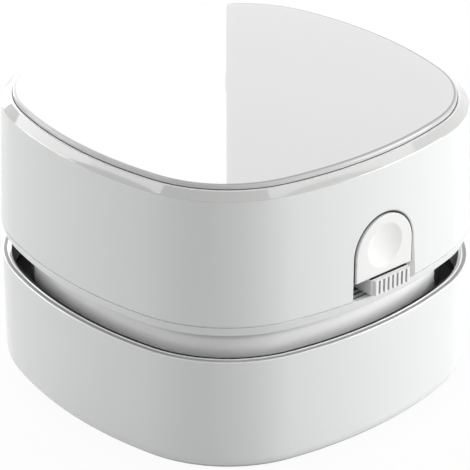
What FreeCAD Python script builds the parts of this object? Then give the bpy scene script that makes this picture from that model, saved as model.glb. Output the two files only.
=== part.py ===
import FreeCAD, Part
import math
import os

from FreeCAD import Vector

# Desktop mini vacuum cleaner, in millimetres.
# +Z is up and Z = 0 is the table. -Y is the front, with the push button and the
# slide knob. The Z axis is the axis of the motor, the fan and the intake.
#
# A dust bin stands on four feet. The motor head sits in its mouth and lifts off.
# A cover plate closes the battery compartment in the top of the head.

# ---------------------------------------------------------------- plan outline
BODY_WIDTH = 85.0
SIDE_RADIUS = 82.4
CORNER_RADIUS = 26.8

# ------------------------------------------------------------------- dust bin
FOOT_HEIGHT = 1.5
FOOT_RADIUS = 4.0
FOOT_POCKET = 0.5
FOOT_OFFSET = 26.0
BIN_HEIGHT = 24.0
BIN_WALL = 1.75
BIN_FLOOR = 1.8
BIN_BASE_FILLET = 3.0
BIN_INNER_FILLET = 2.0
RIM_FILLET = 0.5
RIM_INNER_BEVEL = 0.4
LEDGE_DEPTH = 6.1
LEDGE_THICKNESS = 1.6
LEDGE_REACH = 0.4
INTAKE_RADIUS = 9.0
DUCT_WALL = 1.4
DUCT_HEIGHT = 8.5
DUCT_SEAT = 0.8
BRUSH_INNER_RADIUS = 12.2
BRUSH_WIDTH = 4.0
BRUSH_PROUD = 0.6
BRUSH_SEAT = 0.8
TUFT_COUNT = 28
TUFT_RADIUS = 0.7
TUFT_ROOT = 0.8
TUFT_TIP_GAP = 0.15

# --------------------------------------------------------- head: air passage
EXHAUST_GAP = 5.3
NECK_INSET = 5.5
NECK_WALL = 1.6
SEAL_THICKNESS = 1.0
SEAL_INSET = 0.1
COVE_RADIUS = 4.2
BAND_HEIGHT = 1.9
BAND_TAPER = 0.5
DECK_DROP = 0.8
DECK_THICKNESS = 1.6
FAN_BASE_THICKNESS = 1.6
INLET_RADIUS = 12.0
INLET_BAR_WIDTH = 1.4
INLET_BAR_HEIGHT = 0.9
WINDOW_NEAR_FRONT = 23.5
WINDOW_NEAR_SIDE = 22.0
WINDOW_SILL = 0.4
FOAM_THICKNESS = 1.6
FOAM_OVERLAP = 1.0
FOAM_INSET = 0.3
FILTER_MARGIN = 2.5
FILTER_RIM = 2.5
FILTER_DEPTH = 3.5
FILTER_LIP = 1.5
FILTER_LIP_HEIGHT = 1.0
MESH_THICKNESS = 0.8
FAN_RADIUS = 24.0
FAN_HUB_RADIUS = 4.0
FAN_PLATE = 1.2
FAN_BLADES = 9
FAN_BLADE_THICKNESS = 1.0
FAN_TOP_GAP = 0.5
FAN_BOTTOM_GAP = 1.0

# ----------------------------------------------------------- head: the motor
MOTOR_DIAMETER = 20.0
MOTOR_THICKNESS = 15.0
MOTOR_LENGTH = 25.0
MOTOR_CAP_HEIGHT = 2.6
MOTOR_CAN_WALL = 0.6
SHAFT_RADIUS = 1.0
BEARING_GAP = 0.03
FRONT_BEARING_RADIUS = 3.0
REAR_BEARING_RADIUS = 2.5
BEARING_PROUD = 1.2
BEARING_LENGTH = 2.4
ARMATURE_RADIUS = 6.3
ARMATURE_LENGTH = 11.0
ARMATURE_SLOT = 1.2
COMMUTATOR_RADIUS = 2.2
COMMUTATOR_LENGTH = 3.0
MAGNET_THICKNESS = 2.0
MAGNET_WIDTH = 10.0
MAGNET_LENGTH = 15.0
BRUSH_STRIP = 0.3
TERMINAL_HEIGHT = 1.6
TERMINAL_WIDTH = 1.8
TERMINAL_THICKNESS = 0.5
CRADLE_WIDTH = 10.0
CRADLE_WALL = 3.0
CLIP_THICKNESS = 0.5
CLIP_WIDTH = 6.0

# ------------------------------------------------------- head: the batteries
CELL_DIAMETER = 14.5
CELL_LENGTH = 50.5
CELL_NUB_RADIUS = 2.75
CELL_NUB_LENGTH = 1.3
CELL_HEADROOM = 0.6
TROUGH_GAP = 0.2
TRAY_WALL = 1.2
TRAY_FLOOR = 1.2
TRAY_RIM = 1.0
TRAY_EAR_RADIUS = 3.0
TRAY_EAR_HEIGHT = 2.0
TRAY_EAR_X = 20.0
MOTOR_ROOM = 0.95
PLATE_CONTACT = 0.5
SPRING_CONTACT_LENGTH = 3.4
SPRING_CONTACT_RADIUS = 3.0
SPRING_CONTACT_WIRE = 0.3
SPRING_CONTACT_TURNS = 3
CONTACT_HALF_WIDTH = 5.0
CONTACT_HALF_HEIGHT = 4.0
TAB_WIDTH = 1.6
TAB_REACH = 3.65
WIRE_RADIUS = 0.6
WIRE_BEND = 1.4

# -------------------------------------------------- head: shell and top cover
SHELL_WALL = 2.0
SHELL_DRAFT = 1.02
SEAM_BEVEL = 0.3
LIP_HEIGHT = 1.2
LIP_THICKNESS = 1.0
SHOULDER_WIDTH = 2.13
SHOULDER_RISE = 1.43
PLATE_THICKNESS = 1.82
PLATE_PROUD = 0.87
PLATE_CROWN = 0.58
PLATE_EDGE_FILLET = 0.25
PLATE_GAP = 0.15
PLATE_LEDGE = 2.45
PLATE_LEDGE_THICKNESS = 1.5
COVER_FRAME_THICKNESS = 1.1
COVER_FRAME_WIDTH = 3.0
COVER_CLEARANCE = 0.4
COVER_GAP = 0.3
SNAP_WIDTH = 8.0
SNAP_THICKNESS = 1.2
SNAP_LENGTH = 3.0

# ------------------------------------------- head: push button and slide knob
CONTROL_X = 0.5
BUTTON_WIDTH = 14.3
BUTTON_SIDE_HEIGHT = 5.0
BUTTON_INSET = 1.2
BUTTON_RAISE = 0.65
BUTTON_THICKNESS = 2.0
BUTTON_GAP = 0.2
BUTTON_FLARE_DEPTH = 2.4
BUTTON_FLANGE = 0.9
BUTTON_FLANGE_THICKNESS = 0.9
BUTTON_TRAVEL = 1.6
DIMPLE_RADIUS = 4.25
DIMPLE_DEPTH = 0.6
STEM_RADIUS = 2.0
STEM_GAP = 0.1
GUIDE_INSET = 7.3
GUIDE_THICKNESS = 1.4
GUIDE_HALF_WIDTH = 9.0
GUIDE_LEG = 2.3
GUIDE_MARGIN = 5.0
HOOK_GAP = 0.6
HOOK_THICKNESS = 1.4
HOOK_WIDTH = 4.0
HOOK_NOSE_HEIGHT = 1.0
HOOK_CLEARANCE = 0.3
BUTTON_SPRING_RADIUS = 3.0
BUTTON_SPRING_WIRE = 0.25
BUTTON_SPRING_TURNS = 3
KNOB_LENGTH = 9.4
KNOB_HEIGHT = 3.0
KNOB_PROUD = 1.2
KNOB_GAP = 0.2
KNOB_OFFSET = 0.8
KNOB_TRAVEL = 3.2
KNOB_RIBS = 8
KNOB_RIB_DEPTH = 0.45
KNOB_RIB_FILL = 0.58
SWITCH_INSET = 5.5
SWITCH_DEPTH = 2.8
SWITCH_LENGTH = 10.0
SWITCH_PIN_SPREAD = 8.2
SWITCH_PIN_LENGTH = 1.4
SWITCH_PIN_WIDTH = 0.6
LEVER_WIDTH = 2.0
LEVER_HEIGHT = 1.2
LEVER_REACH = 1.6
LEVER_SOCKET = 0.3
TRACK_GROOVE_WIDTH = 0.6
TRACK_GROOVE_DEPTH = 0.4
TRACK_GROOVE_INSETS = (1.6, 3.6)

# -------------------------------------------------------------------- screws
SCREW_SHANK = 1.0
SCREW_HEAD = 1.9
SCREW_HEAD_HEIGHT = 1.2
SCREW_HOLE_GAP = 0.1
SCREW_SLOT_WIDTH = 0.4
SCREW_SLOT_DEPTH = 0.5
SCREW_BITE = 5.0
BOSS_RADIUS = 2.6
SHELL_BOSS_INSET = 5.8
SHELL_BOSS_Y = 14.0
SHELL_BOSS_HEIGHT = 9.0
SHELL_WEB = 1.6
FAN_POST_GAP = 1.1
FAN_POST_ANGLE = 26.1
FIT_GAP = 0.1
OVERCUT = 1.0

# ------------------------------------------------------------ derived widths
body_half = BODY_WIDTH / 2
bin_inner_half = body_half - BIN_WALL
neck_half = body_half - NECK_INSET
neck_inner_half = neck_half - NECK_WALL
ledge_half = neck_inner_half - LEDGE_REACH
shoulder_half = body_half - SHELL_DRAFT
lip_half = shoulder_half - SHOULDER_WIDTH
plate_half = lip_half - PLATE_GAP
cover_opening_half = lip_half - PLATE_LEDGE
cover_frame_half = cover_opening_half - COVER_GAP
fan_base_half = neck_inner_half - FIT_GAP
filter_radius = FAN_RADIUS + FILTER_MARGIN
fan_post_reach = filter_radius + SCREW_HEAD + FAN_POST_GAP
fan_post_x = fan_post_reach * math.sin(math.radians(FAN_POST_ANGLE))
fan_post_y = fan_post_reach * math.cos(math.radians(FAN_POST_ANGLE))
shell_boss_x = neck_inner_half - SHELL_BOSS_INSET

# ------------------------------------------------------------ derived heights
bin_z = FOOT_HEIGHT
bin_floor_z = bin_z + BIN_FLOOR
rim_z = bin_z + BIN_HEIGHT
ledge_z = rim_z - LEDGE_DEPTH
neck_z = ledge_z + SEAL_THICKNESS
fan_base_top_z = neck_z + FAN_BASE_THICKNESS
band_z = rim_z + EXHAUST_GAP
band_top_z = band_z + BAND_HEIGHT
deck_z = band_z - DECK_DROP
deck_top_z = deck_z + DECK_THICKNESS
motor_top_z = deck_top_z + MOTOR_LENGTH
motor_cap_z = motor_top_z - MOTOR_CAP_HEIGHT
clip_top_z = motor_top_z + CLIP_THICKNESS
cover_frame_z = clip_top_z + COVER_CLEARANCE
plate_z = cover_frame_z + COVER_FRAME_THICKNESS
plate_top_z = plate_z + PLATE_THICKNESS
lip_z = plate_top_z - PLATE_PROUD
shoulder_z = lip_z - SHOULDER_RISE
ceiling_z = plate_z - PLATE_LEDGE_THICKNESS
cell_radius = CELL_DIAMETER / 2
cell_z = cover_frame_z - CELL_HEADROOM - cell_radius
trough_radius = cell_radius + TROUGH_GAP
tray_z = cell_z - trough_radius - TRAY_FLOOR
tray_top_z = cell_z + TRAY_RIM
filter_z = neck_z - FILTER_DEPTH
fan_z = fan_base_top_z + FAN_BOTTOM_GAP
fan_top_z = deck_z - FAN_TOP_GAP
knob_z = band_top_z + KNOB_GAP
knob_top_z = knob_z + KNOB_HEIGHT
button_z = knob_top_z + KNOB_GAP
button_arch_z = button_z + BUTTON_SIDE_HEIGHT
knob_middle_z = knob_z + KNOB_HEIGHT / 2

# ------------------------------------------------------ derived plan positions
motor_room_half = MOTOR_THICKNESS / 2 + MOTOR_ROOM
cell_x = motor_room_half + TRAY_WALL + trough_radius
pocket_half = (CELL_LENGTH + SPRING_CONTACT_LENGTH) / 2 + PLATE_CONTACT
tray_half_x = cell_x + trough_radius + TRAY_WALL
tray_half_y = pocket_half + TRAY_WALL
tray_ear_y = tray_half_y + TRAY_EAR_RADIUS - OVERCUT
cradle_y = MOTOR_DIAMETER / 2 + FIT_GAP
clip_screw_y = cradle_y + CRADLE_WALL / 2
terminal_x = MOTOR_THICKNESS / 2 - TERMINAL_WIDTH
button_radius = BUTTON_WIDTH / 2
button_face_y = -body_half + BUTTON_INSET
button_back_y = button_face_y + BUTTON_THICKNESS
flange_back_y = button_back_y + BUTTON_FLANGE_THICKNESS
guide_y = -body_half + GUIDE_INSET
guide_back_y = guide_y + GUIDE_THICKNESS
hook_y = guide_back_y + HOOK_GAP
hook_back_y = hook_y + HOOK_THICKNESS
nose_z = ledge_z - LEDGE_THICKNESS - HOOK_CLEARANCE - HOOK_NOSE_HEIGHT
nose_y = -ledge_half + HOOK_CLEARANCE
knob_x = CONTROL_X + KNOB_OFFSET
knob_face_y = -body_half - KNOB_PROUD
switch_y = -body_half + SWITCH_INSET
switch_back_y = switch_y + SWITCH_DEPTH
knob_back_y = switch_y - KNOB_GAP
switch_x = knob_x - KNOB_TRAVEL / 2
pin_y = switch_back_y + SWITCH_PIN_LENGTH
tab_x = cell_x - TAB_REACH

FAN_POSTS = [(sx * fan_post_x, sy * fan_post_y) for sx in (-1, 1) for sy in (-1, 1)]
SHELL_BOSSES = [(sx * shell_boss_x, sy * SHELL_BOSS_Y) for sx in (-1, 1) for sy in (-1, 1)]
TRAY_EARS = [(sx * TRAY_EAR_X, sy * tray_ear_y) for sx in (-1, 1) for sy in (-1, 1)]
FEET = [(sx * FOOT_OFFSET, sy * FOOT_OFFSET) for sx in (-1, 1) for sy in (-1, 1)]
CLIP_SCREWS = [(0, -clip_screw_y), (0, clip_screw_y)]


# -------------------------------------------------------------- shape helpers
def outline(half, z):
    """Closed rounded-square outline of eight tangent arcs, `half` wide each way."""
    inset = body_half - half
    side_r = SIDE_RADIUS - inset
    corner_r = CORNER_RADIUS - inset
    behind = side_r - half
    reach = side_r - corner_r
    centre = (math.sqrt(2 * reach ** 2 - behind ** 2) - behind) / 2
    turn = math.atan2(centre, centre + behind)
    edges = []
    for quarter in range(4):
        spin = quarter * math.pi / 2
        side_mid = arc_point(-behind, 0, side_r, 0, spin, z)
        side_from = arc_point(-behind, 0, side_r, -turn, spin, z)
        side_to = arc_point(-behind, 0, side_r, turn, spin, z)
        corner_mid = arc_point(centre, centre, corner_r, math.pi / 4, spin, z)
        corner_to = arc_point(centre, centre, corner_r, math.pi / 2 - turn, spin, z)
        edges.append(Part.Arc(side_from, side_mid, side_to).toShape())
        edges.append(Part.Arc(side_to, corner_mid, corner_to).toShape())
    return Part.Wire(edges)


def arc_point(cx, cy, radius, angle, spin, z):
    """Point on an arc about (cx, cy), turned about the Z axis by `spin`."""
    x = cx + radius * math.cos(angle)
    y = cy + radius * math.sin(angle)
    return Vector(x * math.cos(spin) - y * math.sin(spin),
                  x * math.sin(spin) + y * math.cos(spin), z)


def stack(levels):
    """Solid through outlines of the given (half, z) levels, straight in between."""
    return Part.makeLoft([outline(half, z) for half, z in levels], True, True)


def prism(half, z0, z1):
    """Upright solid with the body's outline."""
    return Part.Face(outline(half, z0)).extrude(Vector(0, 0, z1 - z0))


def ring(outer_half, inner_half, z0, z1):
    """Upright wall between two outlines."""
    return prism(outer_half, z0, z1).cut(prism(inner_half, z0, z1))


def rod(radius, z0, z1, x=0, y=0):
    """Upright cylinder."""
    return Part.makeCylinder(radius, z1 - z0, Vector(x, y, z0))


def tube(outer, inner, z0, z1, x=0, y=0):
    """Upright hollow cylinder."""
    return rod(outer, z0, z1, x, y).cut(rod(inner, z0, z1, x, y))


def rod_y(radius, y0, y1, x, z):
    """Cylinder along Y."""
    return Part.makeCylinder(radius, y1 - y0, Vector(x, y0, z), Vector(0, 1, 0))


def block(x0, x1, y0, y1, z0, z1):
    """Box between two corners."""
    return Part.makeBox(x1 - x0, y1 - y0, z1 - z0, Vector(x0, y0, z0))


def joined(first, others):
    """One solid from pieces that touch."""
    return first.fuse(others).removeSplitter()


def edges_at(shape, z):
    """Edges that lie level at height z."""
    return [e for e in shape.Edges
            if abs(e.BoundBox.ZMin - z) < 1e-4 and abs(e.BoundBox.ZMax - z) < 1e-4]


def runs_inside(edge, half):
    """True for an edge whose middle lies inside the outline of this half width."""
    middle = edge.valueAt((edge.FirstParameter + edge.LastParameter) / 2)
    return Part.Face(outline(half, middle.z)).isInside(middle, 1e-3, True)


def side_drop(across):
    """How far a side of the outline falls back, `across` away from its middle."""
    return SIDE_RADIUS - math.sqrt(SIDE_RADIUS ** 2 - across ** 2)


def arch(radius, low_z, y):
    """Arch outline of the button in the plane at y, open end down at low_z."""
    left = CONTROL_X - radius
    right = CONTROL_X + radius
    feet = [Vector(left, y, low_z), Vector(right, y, low_z)]
    springs = [Vector(left, y, button_arch_z), Vector(right, y, button_arch_z)]
    crown = Vector(CONTROL_X, y, button_arch_z + radius)
    return Part.Wire([
        Part.LineSegment(feet[0], feet[1]).toShape(),
        Part.LineSegment(feet[1], springs[1]).toShape(),
        Part.Arc(springs[1], crown, springs[0]).toShape(),
        Part.LineSegment(springs[0], feet[0]).toShape()])


def arch_plate(radius, low_z, y0, y1):
    """Plate of the arch outline between two Y planes."""
    return Part.Face(arch(radius, low_z, y0)).extrude(Vector(0, y1 - y0, 0))


def screw(x, y, seat_z, length, up):
    """Pan-head screw whose head rests on seat_z and whose shank points up or down."""
    side = 1 if up else -1
    head = rod(SCREW_HEAD, min(seat_z, seat_z - side * SCREW_HEAD_HEIGHT),
               max(seat_z, seat_z - side * SCREW_HEAD_HEIGHT), x, y)
    shank = rod(SCREW_SHANK, min(seat_z, seat_z + side * length),
                max(seat_z, seat_z + side * length), x, y)
    top_z = seat_z - side * SCREW_HEAD_HEIGHT
    deep_z = top_z + side * SCREW_SLOT_DEPTH
    half = SCREW_SLOT_WIDTH / 2
    low = min(top_z, deep_z)
    high = max(top_z, deep_z)
    cross = [block(x - SCREW_SHANK, x + SCREW_SHANK, y - half, y + half, low, high),
             block(x - half, x + half, y - SCREW_SHANK, y + SCREW_SHANK, low, high)]
    return head.fuse(shank).cut(cross)


def coil(radius, wire, length, turns):
    """Round-wire spring along +Z from Z = 0, bent in half turns that climb evenly."""
    climb = (length - 2 * wire) / (2 * turns)
    halves = []
    for i in range(2 * turns):
        side = 1 if i % 2 == 0 else -1
        start = Vector(side * radius, 0, wire + climb * i)
        section = Part.Face(Part.Wire(Part.makeCircle(wire, start, Vector(0, 1, 0))))
        halves.append(section.revolve(Vector(0, 0, start.z + climb / 2),
                                      Vector(side * climb / 2, 0, radius).normalize(), 180))
    return halves[0].multiFuse(halves[1:])


def bent_wire(points, radius, bend):
    """Round wire through the points, with each corner turned by an arc."""
    edges = []
    start = points[0]
    for before, corner, after in zip(points, points[1:], points[2:]):
        to_back = (before - corner).normalize()
        to_next = (after - corner).normalize()
        half_angle = to_back.getAngle(to_next) / 2
        trim = bend / math.tan(half_angle)
        middle_reach = bend / math.sin(half_angle) - bend
        towards = (to_back + to_next).normalize()
        enter = corner + to_back * trim
        leave = corner + to_next * trim
        edges.append(Part.LineSegment(start, enter).toShape())
        edges.append(Part.Arc(enter, corner + towards * middle_reach, leave).toShape())
        start = leave
    edges.append(Part.LineSegment(start, points[-1]).toShape())
    heading = (points[1] - points[0]).normalize()
    section = Part.Wire(Part.makeCircle(radius, points[0], heading))
    return Part.Wire(edges).makePipeShell([section], True, True)


# --------------------------------------------------------------- the dust bin
def dust_bin():
    """Bottom cup with the intake hole and seats for the duct, the brush and the feet."""
    cup = prism(body_half, bin_z, rim_z)
    cup = cup.makeFillet(BIN_BASE_FILLET, edges_at(cup, bin_z))
    cup = cup.makeFillet(RIM_FILLET, edges_at(cup, rim_z))
    hollow = prism(bin_inner_half, bin_floor_z, rim_z)
    hollow = hollow.makeFillet(BIN_INNER_FILLET, edges_at(hollow, bin_floor_z))
    bevel = stack([(bin_inner_half, rim_z - RIM_INNER_BEVEL),
                   (bin_inner_half + RIM_INNER_BEVEL, rim_z)])
    pockets = [rod(FOOT_RADIUS, bin_z - OVERCUT, bin_z + FOOT_POCKET, x, y) for x, y in FEET]
    intake = rod(INTAKE_RADIUS, bin_z - OVERCUT, bin_floor_z + OVERCUT)
    seat = rod(INTAKE_RADIUS + DUCT_WALL, bin_floor_z - DUCT_SEAT, bin_floor_z + OVERCUT)
    groove = tube(BRUSH_INNER_RADIUS + BRUSH_WIDTH, BRUSH_INNER_RADIUS,
                  bin_z - OVERCUT, bin_z + BRUSH_SEAT)
    return cup.cut([hollow, bevel, intake, seat, groove] + pockets)


def seat_ring():
    """Ring pressed into the cup, on which the head stands."""
    return ring(bin_inner_half, ledge_half, ledge_z - LEDGE_THICKNESS, ledge_z)


def intake_duct():
    """Tube round the intake that keeps the dust in the cup."""
    return tube(INTAKE_RADIUS + DUCT_WALL, INTAKE_RADIUS,
                bin_floor_z - DUCT_SEAT, bin_floor_z + DUCT_HEIGHT)


def tufts():
    """Bristle tufts in a ring round the intake."""
    radius = BRUSH_INNER_RADIUS + BRUSH_WIDTH / 2
    shapes = []
    for i in range(TUFT_COUNT):
        angle = 2 * math.pi * i / TUFT_COUNT
        shapes.append(rod(TUFT_RADIUS, TUFT_TIP_GAP, bin_z - BRUSH_PROUD + TUFT_ROOT,
                          radius * math.cos(angle), radius * math.sin(angle)))
    return shapes


def brush_ring():
    """Carrier that holds the tufts in the floor's groove."""
    carrier = tube(BRUSH_INNER_RADIUS + BRUSH_WIDTH, BRUSH_INNER_RADIUS,
                   bin_z - BRUSH_PROUD, bin_z + BRUSH_SEAT)
    return carrier.cut(tufts())


def brush_tufts():
    """All tufts as one group."""
    return Part.makeCompound(tufts())


def rubber_feet():
    """Four round feet in their pockets."""
    return Part.makeCompound([rod(FOOT_RADIUS, 0, bin_z + FOOT_POCKET, x, y) for x, y in FEET])


# ----------------------------------------------------------- the head's frame
def window_blocks(margin):
    """Corner regions where the neck is open: front right, back right, back left."""
    far = body_half
    near = WINDOW_NEAR_SIDE - margin
    front = WINDOW_NEAR_FRONT - margin
    low = fan_base_top_z + WINDOW_SILL
    high = band_z - WINDOW_SILL
    if margin:
        low = fan_base_top_z
        high = deck_z
    return [block(front, far, -far, -near, low, high),
            block(near, far, near, far, low, high),
            block(-far, -near, near, far, low, high)]


def arm_slot(z0, z1):
    """Room for the hook arm over its whole travel, through one floor."""
    half = HOOK_WIDTH / 2 + HOOK_CLEARANCE
    return block(CONTROL_X - half, CONTROL_X + half, hook_y - HOOK_CLEARANCE,
                 hook_back_y + BUTTON_TRAVEL + HOOK_CLEARANCE, z0 - OVERCUT, z1 + OVERCUT)


def chassis_ring():
    """Band, neck and cove of the chassis in one ring, with the exhaust windows."""
    band = stack([(body_half - BAND_TAPER, band_z), (body_half, band_top_z)])
    neck = prism(neck_half, neck_z, band_z)
    flare = prism(neck_half + COVE_RADIUS, band_z - COVE_RADIUS, band_z)
    around = ring(body_half, neck_half, band_z - COVE_RADIUS - OVERCUT, band_z)
    inner_edges = [e for e in edges_at(around, band_z) if runs_inside(e, neck_half + FIT_GAP)]
    around = around.makeFillet(COVE_RADIUS, inner_edges)
    shape = joined(band, [neck, flare.cut(around)])
    hollow = prism(neck_inner_half, neck_z - OVERCUT, band_top_z + OVERCUT)
    return shape.cut([hollow] + window_blocks(0))


def motor_cradle():
    """Two walls that hold the motor upright on the deck."""
    half = CRADLE_WIDTH / 2
    walls = [block(-half, half, cradle_y, cradle_y + CRADLE_WALL, deck_top_z, motor_top_z),
             block(-half, half, -cradle_y - CRADLE_WALL, -cradle_y, deck_top_z, motor_top_z)]
    holes = [rod(SCREW_SHANK, motor_top_z - SCREW_BITE, motor_top_z, x, y)
             for x, y in CLIP_SCREWS]
    return [wall.cut(holes) for wall in walls]


def button_guide():
    """Bridge that guides the button's stem and carries its spring."""
    x0 = CONTROL_X - GUIDE_HALF_WIDTH
    x1 = CONTROL_X + GUIDE_HALF_WIDTH
    top_z = button_arch_z + GUIDE_MARGIN
    plate = block(x0, x1, guide_y, guide_back_y, deck_top_z, top_z)
    gate = block(x0 + GUIDE_LEG, x1 - GUIDE_LEG, guide_y, guide_back_y,
                 deck_top_z, button_z + OVERCUT)
    bore = rod_y(STEM_RADIUS + STEM_GAP, guide_y, guide_back_y, CONTROL_X, button_arch_z)
    return plate.cut([gate, bore])


def locating_lip():
    """Low wall that centres the shell, left out behind the controls."""
    outer = body_half - SHELL_WALL - PLATE_GAP
    lip = ring(outer, outer - LIP_THICKNESS, band_top_z, band_top_z + LIP_HEIGHT)
    half = GUIDE_HALF_WIDTH + LIP_THICKNESS
    return lip.cut(block(CONTROL_X - half, CONTROL_X + half, -body_half, 0,
                         band_top_z, band_top_z + LIP_HEIGHT))


def track_grooves():
    """Grooves along the knob's path in the top of the band."""
    x0 = CONTROL_X - button_radius - BUTTON_GAP
    x1 = CONTROL_X + button_radius + BUTTON_GAP
    grooves = []
    for inset in TRACK_GROOVE_INSETS:
        y0 = -body_half + inset
        grooves.append(block(x0, x1, y0, y0 + TRACK_GROOVE_WIDTH,
                             band_top_z - TRACK_GROOVE_DEPTH, band_top_z))
    return grooves


def chassis():
    """Frame of the head: band, neck, motor deck, posts and guides."""
    deck = prism(neck_half, deck_z, deck_top_z)
    fan_posts = [rod(BOSS_RADIUS, fan_base_top_z, deck_z, x, y) for x, y in FAN_POSTS]
    tray_posts = [rod(TRAY_EAR_RADIUS, deck_top_z, tray_z, x, y) for x, y in TRAY_EARS]
    shape = joined(chassis_ring(), [deck, button_guide(), locating_lip()]
                   + fan_posts + tray_posts + motor_cradle())
    holes = [rod(SCREW_SHANK + SCREW_HOLE_GAP, deck_z - OVERCUT, deck_top_z + OVERCUT, x, y)
             for x, y in SHELL_BOSSES]
    holes += [rod(SCREW_SHANK, fan_base_top_z, fan_base_top_z + SCREW_BITE, x, y)
              for x, y in FAN_POSTS]
    holes += [rod(SCREW_SHANK, tray_z - SCREW_BITE, tray_z, x, y) for x, y in TRAY_EARS]
    holes.append(rod(FRONT_BEARING_RADIUS, deck_z - OVERCUT, deck_top_z))
    holes.append(arm_slot(deck_z, deck_top_z))
    return shape.cut(holes + track_grooves())


def fan_base():
    """Floor under the fan, with the inlet and its guard bars."""
    plate = prism(fan_base_half, neck_z, fan_base_top_z)
    holes = [rod(SCREW_SHANK + SCREW_HOLE_GAP, neck_z - OVERCUT, fan_base_top_z + OVERCUT, x, y)
             for x, y in FAN_POSTS]
    holes.append(rod(INLET_RADIUS, neck_z - OVERCUT, fan_base_top_z + OVERCUT))
    holes.append(arm_slot(neck_z, fan_base_top_z))
    half = INLET_BAR_WIDTH / 2
    bar = block(-INLET_RADIUS - half, INLET_RADIUS + half, -half, half,
                neck_z, neck_z + INLET_BAR_HEIGHT)
    cross = block(-half, half, -INLET_RADIUS - half, INLET_RADIUS + half,
                  neck_z, neck_z + INLET_BAR_HEIGHT)
    return joined(plate.cut(holes), [bar, cross])


def head_seal():
    """Soft gasket between the neck and the bin's seat."""
    return ring(neck_half - SEAL_INSET, neck_inner_half, ledge_z, neck_z)


def exhaust_foam():
    """Foam plugs that fill the three exhaust windows, each with a lip behind the wall."""
    wall = ring(fan_base_half, fan_base_half - FOAM_THICKNESS, fan_base_top_z, deck_z)
    plug = ring(neck_half - FOAM_INSET, fan_base_half, fan_base_top_z + WINDOW_SILL, deck_z)
    plugs = [joined(wall.common(behind), [plug.common(window)])
             for behind, window in zip(window_blocks(FOAM_OVERLAP), window_blocks(0))]
    return Part.makeCompound(plugs)


def filter_frame():
    """Round frame of the dust filter, with a lip under the mesh."""
    inner = filter_radius - FILTER_RIM
    frame = tube(filter_radius, inner, filter_z, neck_z)
    lip = tube(inner, inner - FILTER_LIP, filter_z, filter_z + FILTER_LIP_HEIGHT)
    return joined(frame, [lip])


def filter_mesh():
    """Filter disc that lies on the frame's lip."""
    z0 = filter_z + FILTER_LIP_HEIGHT
    return rod(filter_radius - FILTER_RIM, z0, z0 + MESH_THICKNESS)


def fan_base_screws():
    """Screws that hold the fan base to the chassis posts."""
    length = FAN_BASE_THICKNESS + SCREW_BITE
    return Part.makeCompound([screw(x, y, neck_z, length, True) for x, y in FAN_POSTS])


# ------------------------------------------------------------------ the motor
def flat_can(inset, z0, z1):
    """Round motor body with two flats, `inset` inside the outer surface."""
    round_part = rod(MOTOR_DIAMETER / 2 - inset, z0, z1)
    half = MOTOR_THICKNESS / 2 - inset
    return round_part.common(block(-half, half, -MOTOR_DIAMETER, MOTOR_DIAMETER, z0, z1))


def motor_can():
    """Drawn steel can, open at the top."""
    can = flat_can(0, deck_top_z, motor_cap_z)
    room = flat_can(MOTOR_CAN_WALL, deck_top_z + MOTOR_CAN_WALL, motor_cap_z)
    mouth = rod(FRONT_BEARING_RADIUS, deck_top_z, deck_top_z + MOTOR_CAN_WALL)
    return can.cut([room, mouth])


def motor_end_cap():
    """Moulded cap that closes the can and holds the rear bearing."""
    cap = flat_can(0, motor_cap_z, motor_top_z)
    return cap.cut(rod(REAR_BEARING_RADIUS, motor_cap_z, motor_cap_z + BEARING_LENGTH - BEARING_PROUD))


def motor_bearings():
    """Front and rear sintered bushes."""
    bore = SHAFT_RADIUS + BEARING_GAP
    front = tube(FRONT_BEARING_RADIUS, bore, deck_top_z - BEARING_PROUD,
                 deck_top_z - BEARING_PROUD + BEARING_LENGTH)
    rear = tube(REAR_BEARING_RADIUS, bore, motor_cap_z,
                motor_cap_z + BEARING_LENGTH - BEARING_PROUD)
    return Part.makeCompound([front, rear])


def motor_magnets():
    """Two curved magnets against the can's round walls."""
    outer = MOTOR_DIAMETER / 2 - MOTOR_CAN_WALL
    z0 = armature_z() - (MAGNET_LENGTH - ARMATURE_LENGTH) / 2
    whole = tube(outer, outer - MAGNET_THICKNESS, z0, z0 + MAGNET_LENGTH)
    half = MAGNET_WIDTH / 2
    return Part.makeCompound([whole.common(block(-half, half, 0, outer, z0, z0 + MAGNET_LENGTH)),
                              whole.common(block(-half, half, -outer, 0, z0, z0 + MAGNET_LENGTH))])


def armature_z():
    """Height of the armature's lower face, midway between the motor's bearings."""
    return (deck_top_z + motor_cap_z - ARMATURE_LENGTH) / 2 - COMMUTATOR_LENGTH / 2


def commutator_z():
    """Height of the commutator's lower face."""
    return armature_z() + ARMATURE_LENGTH


def motor_brushes():
    """Two spring strips from the end cap down to the commutator."""
    inner = COMMUTATOR_RADIUS + BEARING_GAP
    z0 = commutator_z() + COMMUTATOR_LENGTH / 2
    return Part.makeCompound([
        block(inner, inner + BRUSH_STRIP, -SHAFT_RADIUS, SHAFT_RADIUS, z0, motor_cap_z),
        block(-inner - BRUSH_STRIP, -inner, -SHAFT_RADIUS, SHAFT_RADIUS, z0, motor_cap_z)])


def motor_terminals():
    """Two solder tabs on top of the motor."""
    half = TERMINAL_THICKNESS / 2
    right = block(terminal_x, terminal_x + TERMINAL_WIDTH, -half, half,
                  motor_top_z, motor_top_z + TERMINAL_HEIGHT)
    left = block(-terminal_x - TERMINAL_WIDTH, -terminal_x, -half, half,
                 motor_top_z, motor_top_z + TERMINAL_HEIGHT)
    return Part.makeCompound([left, right])


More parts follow.
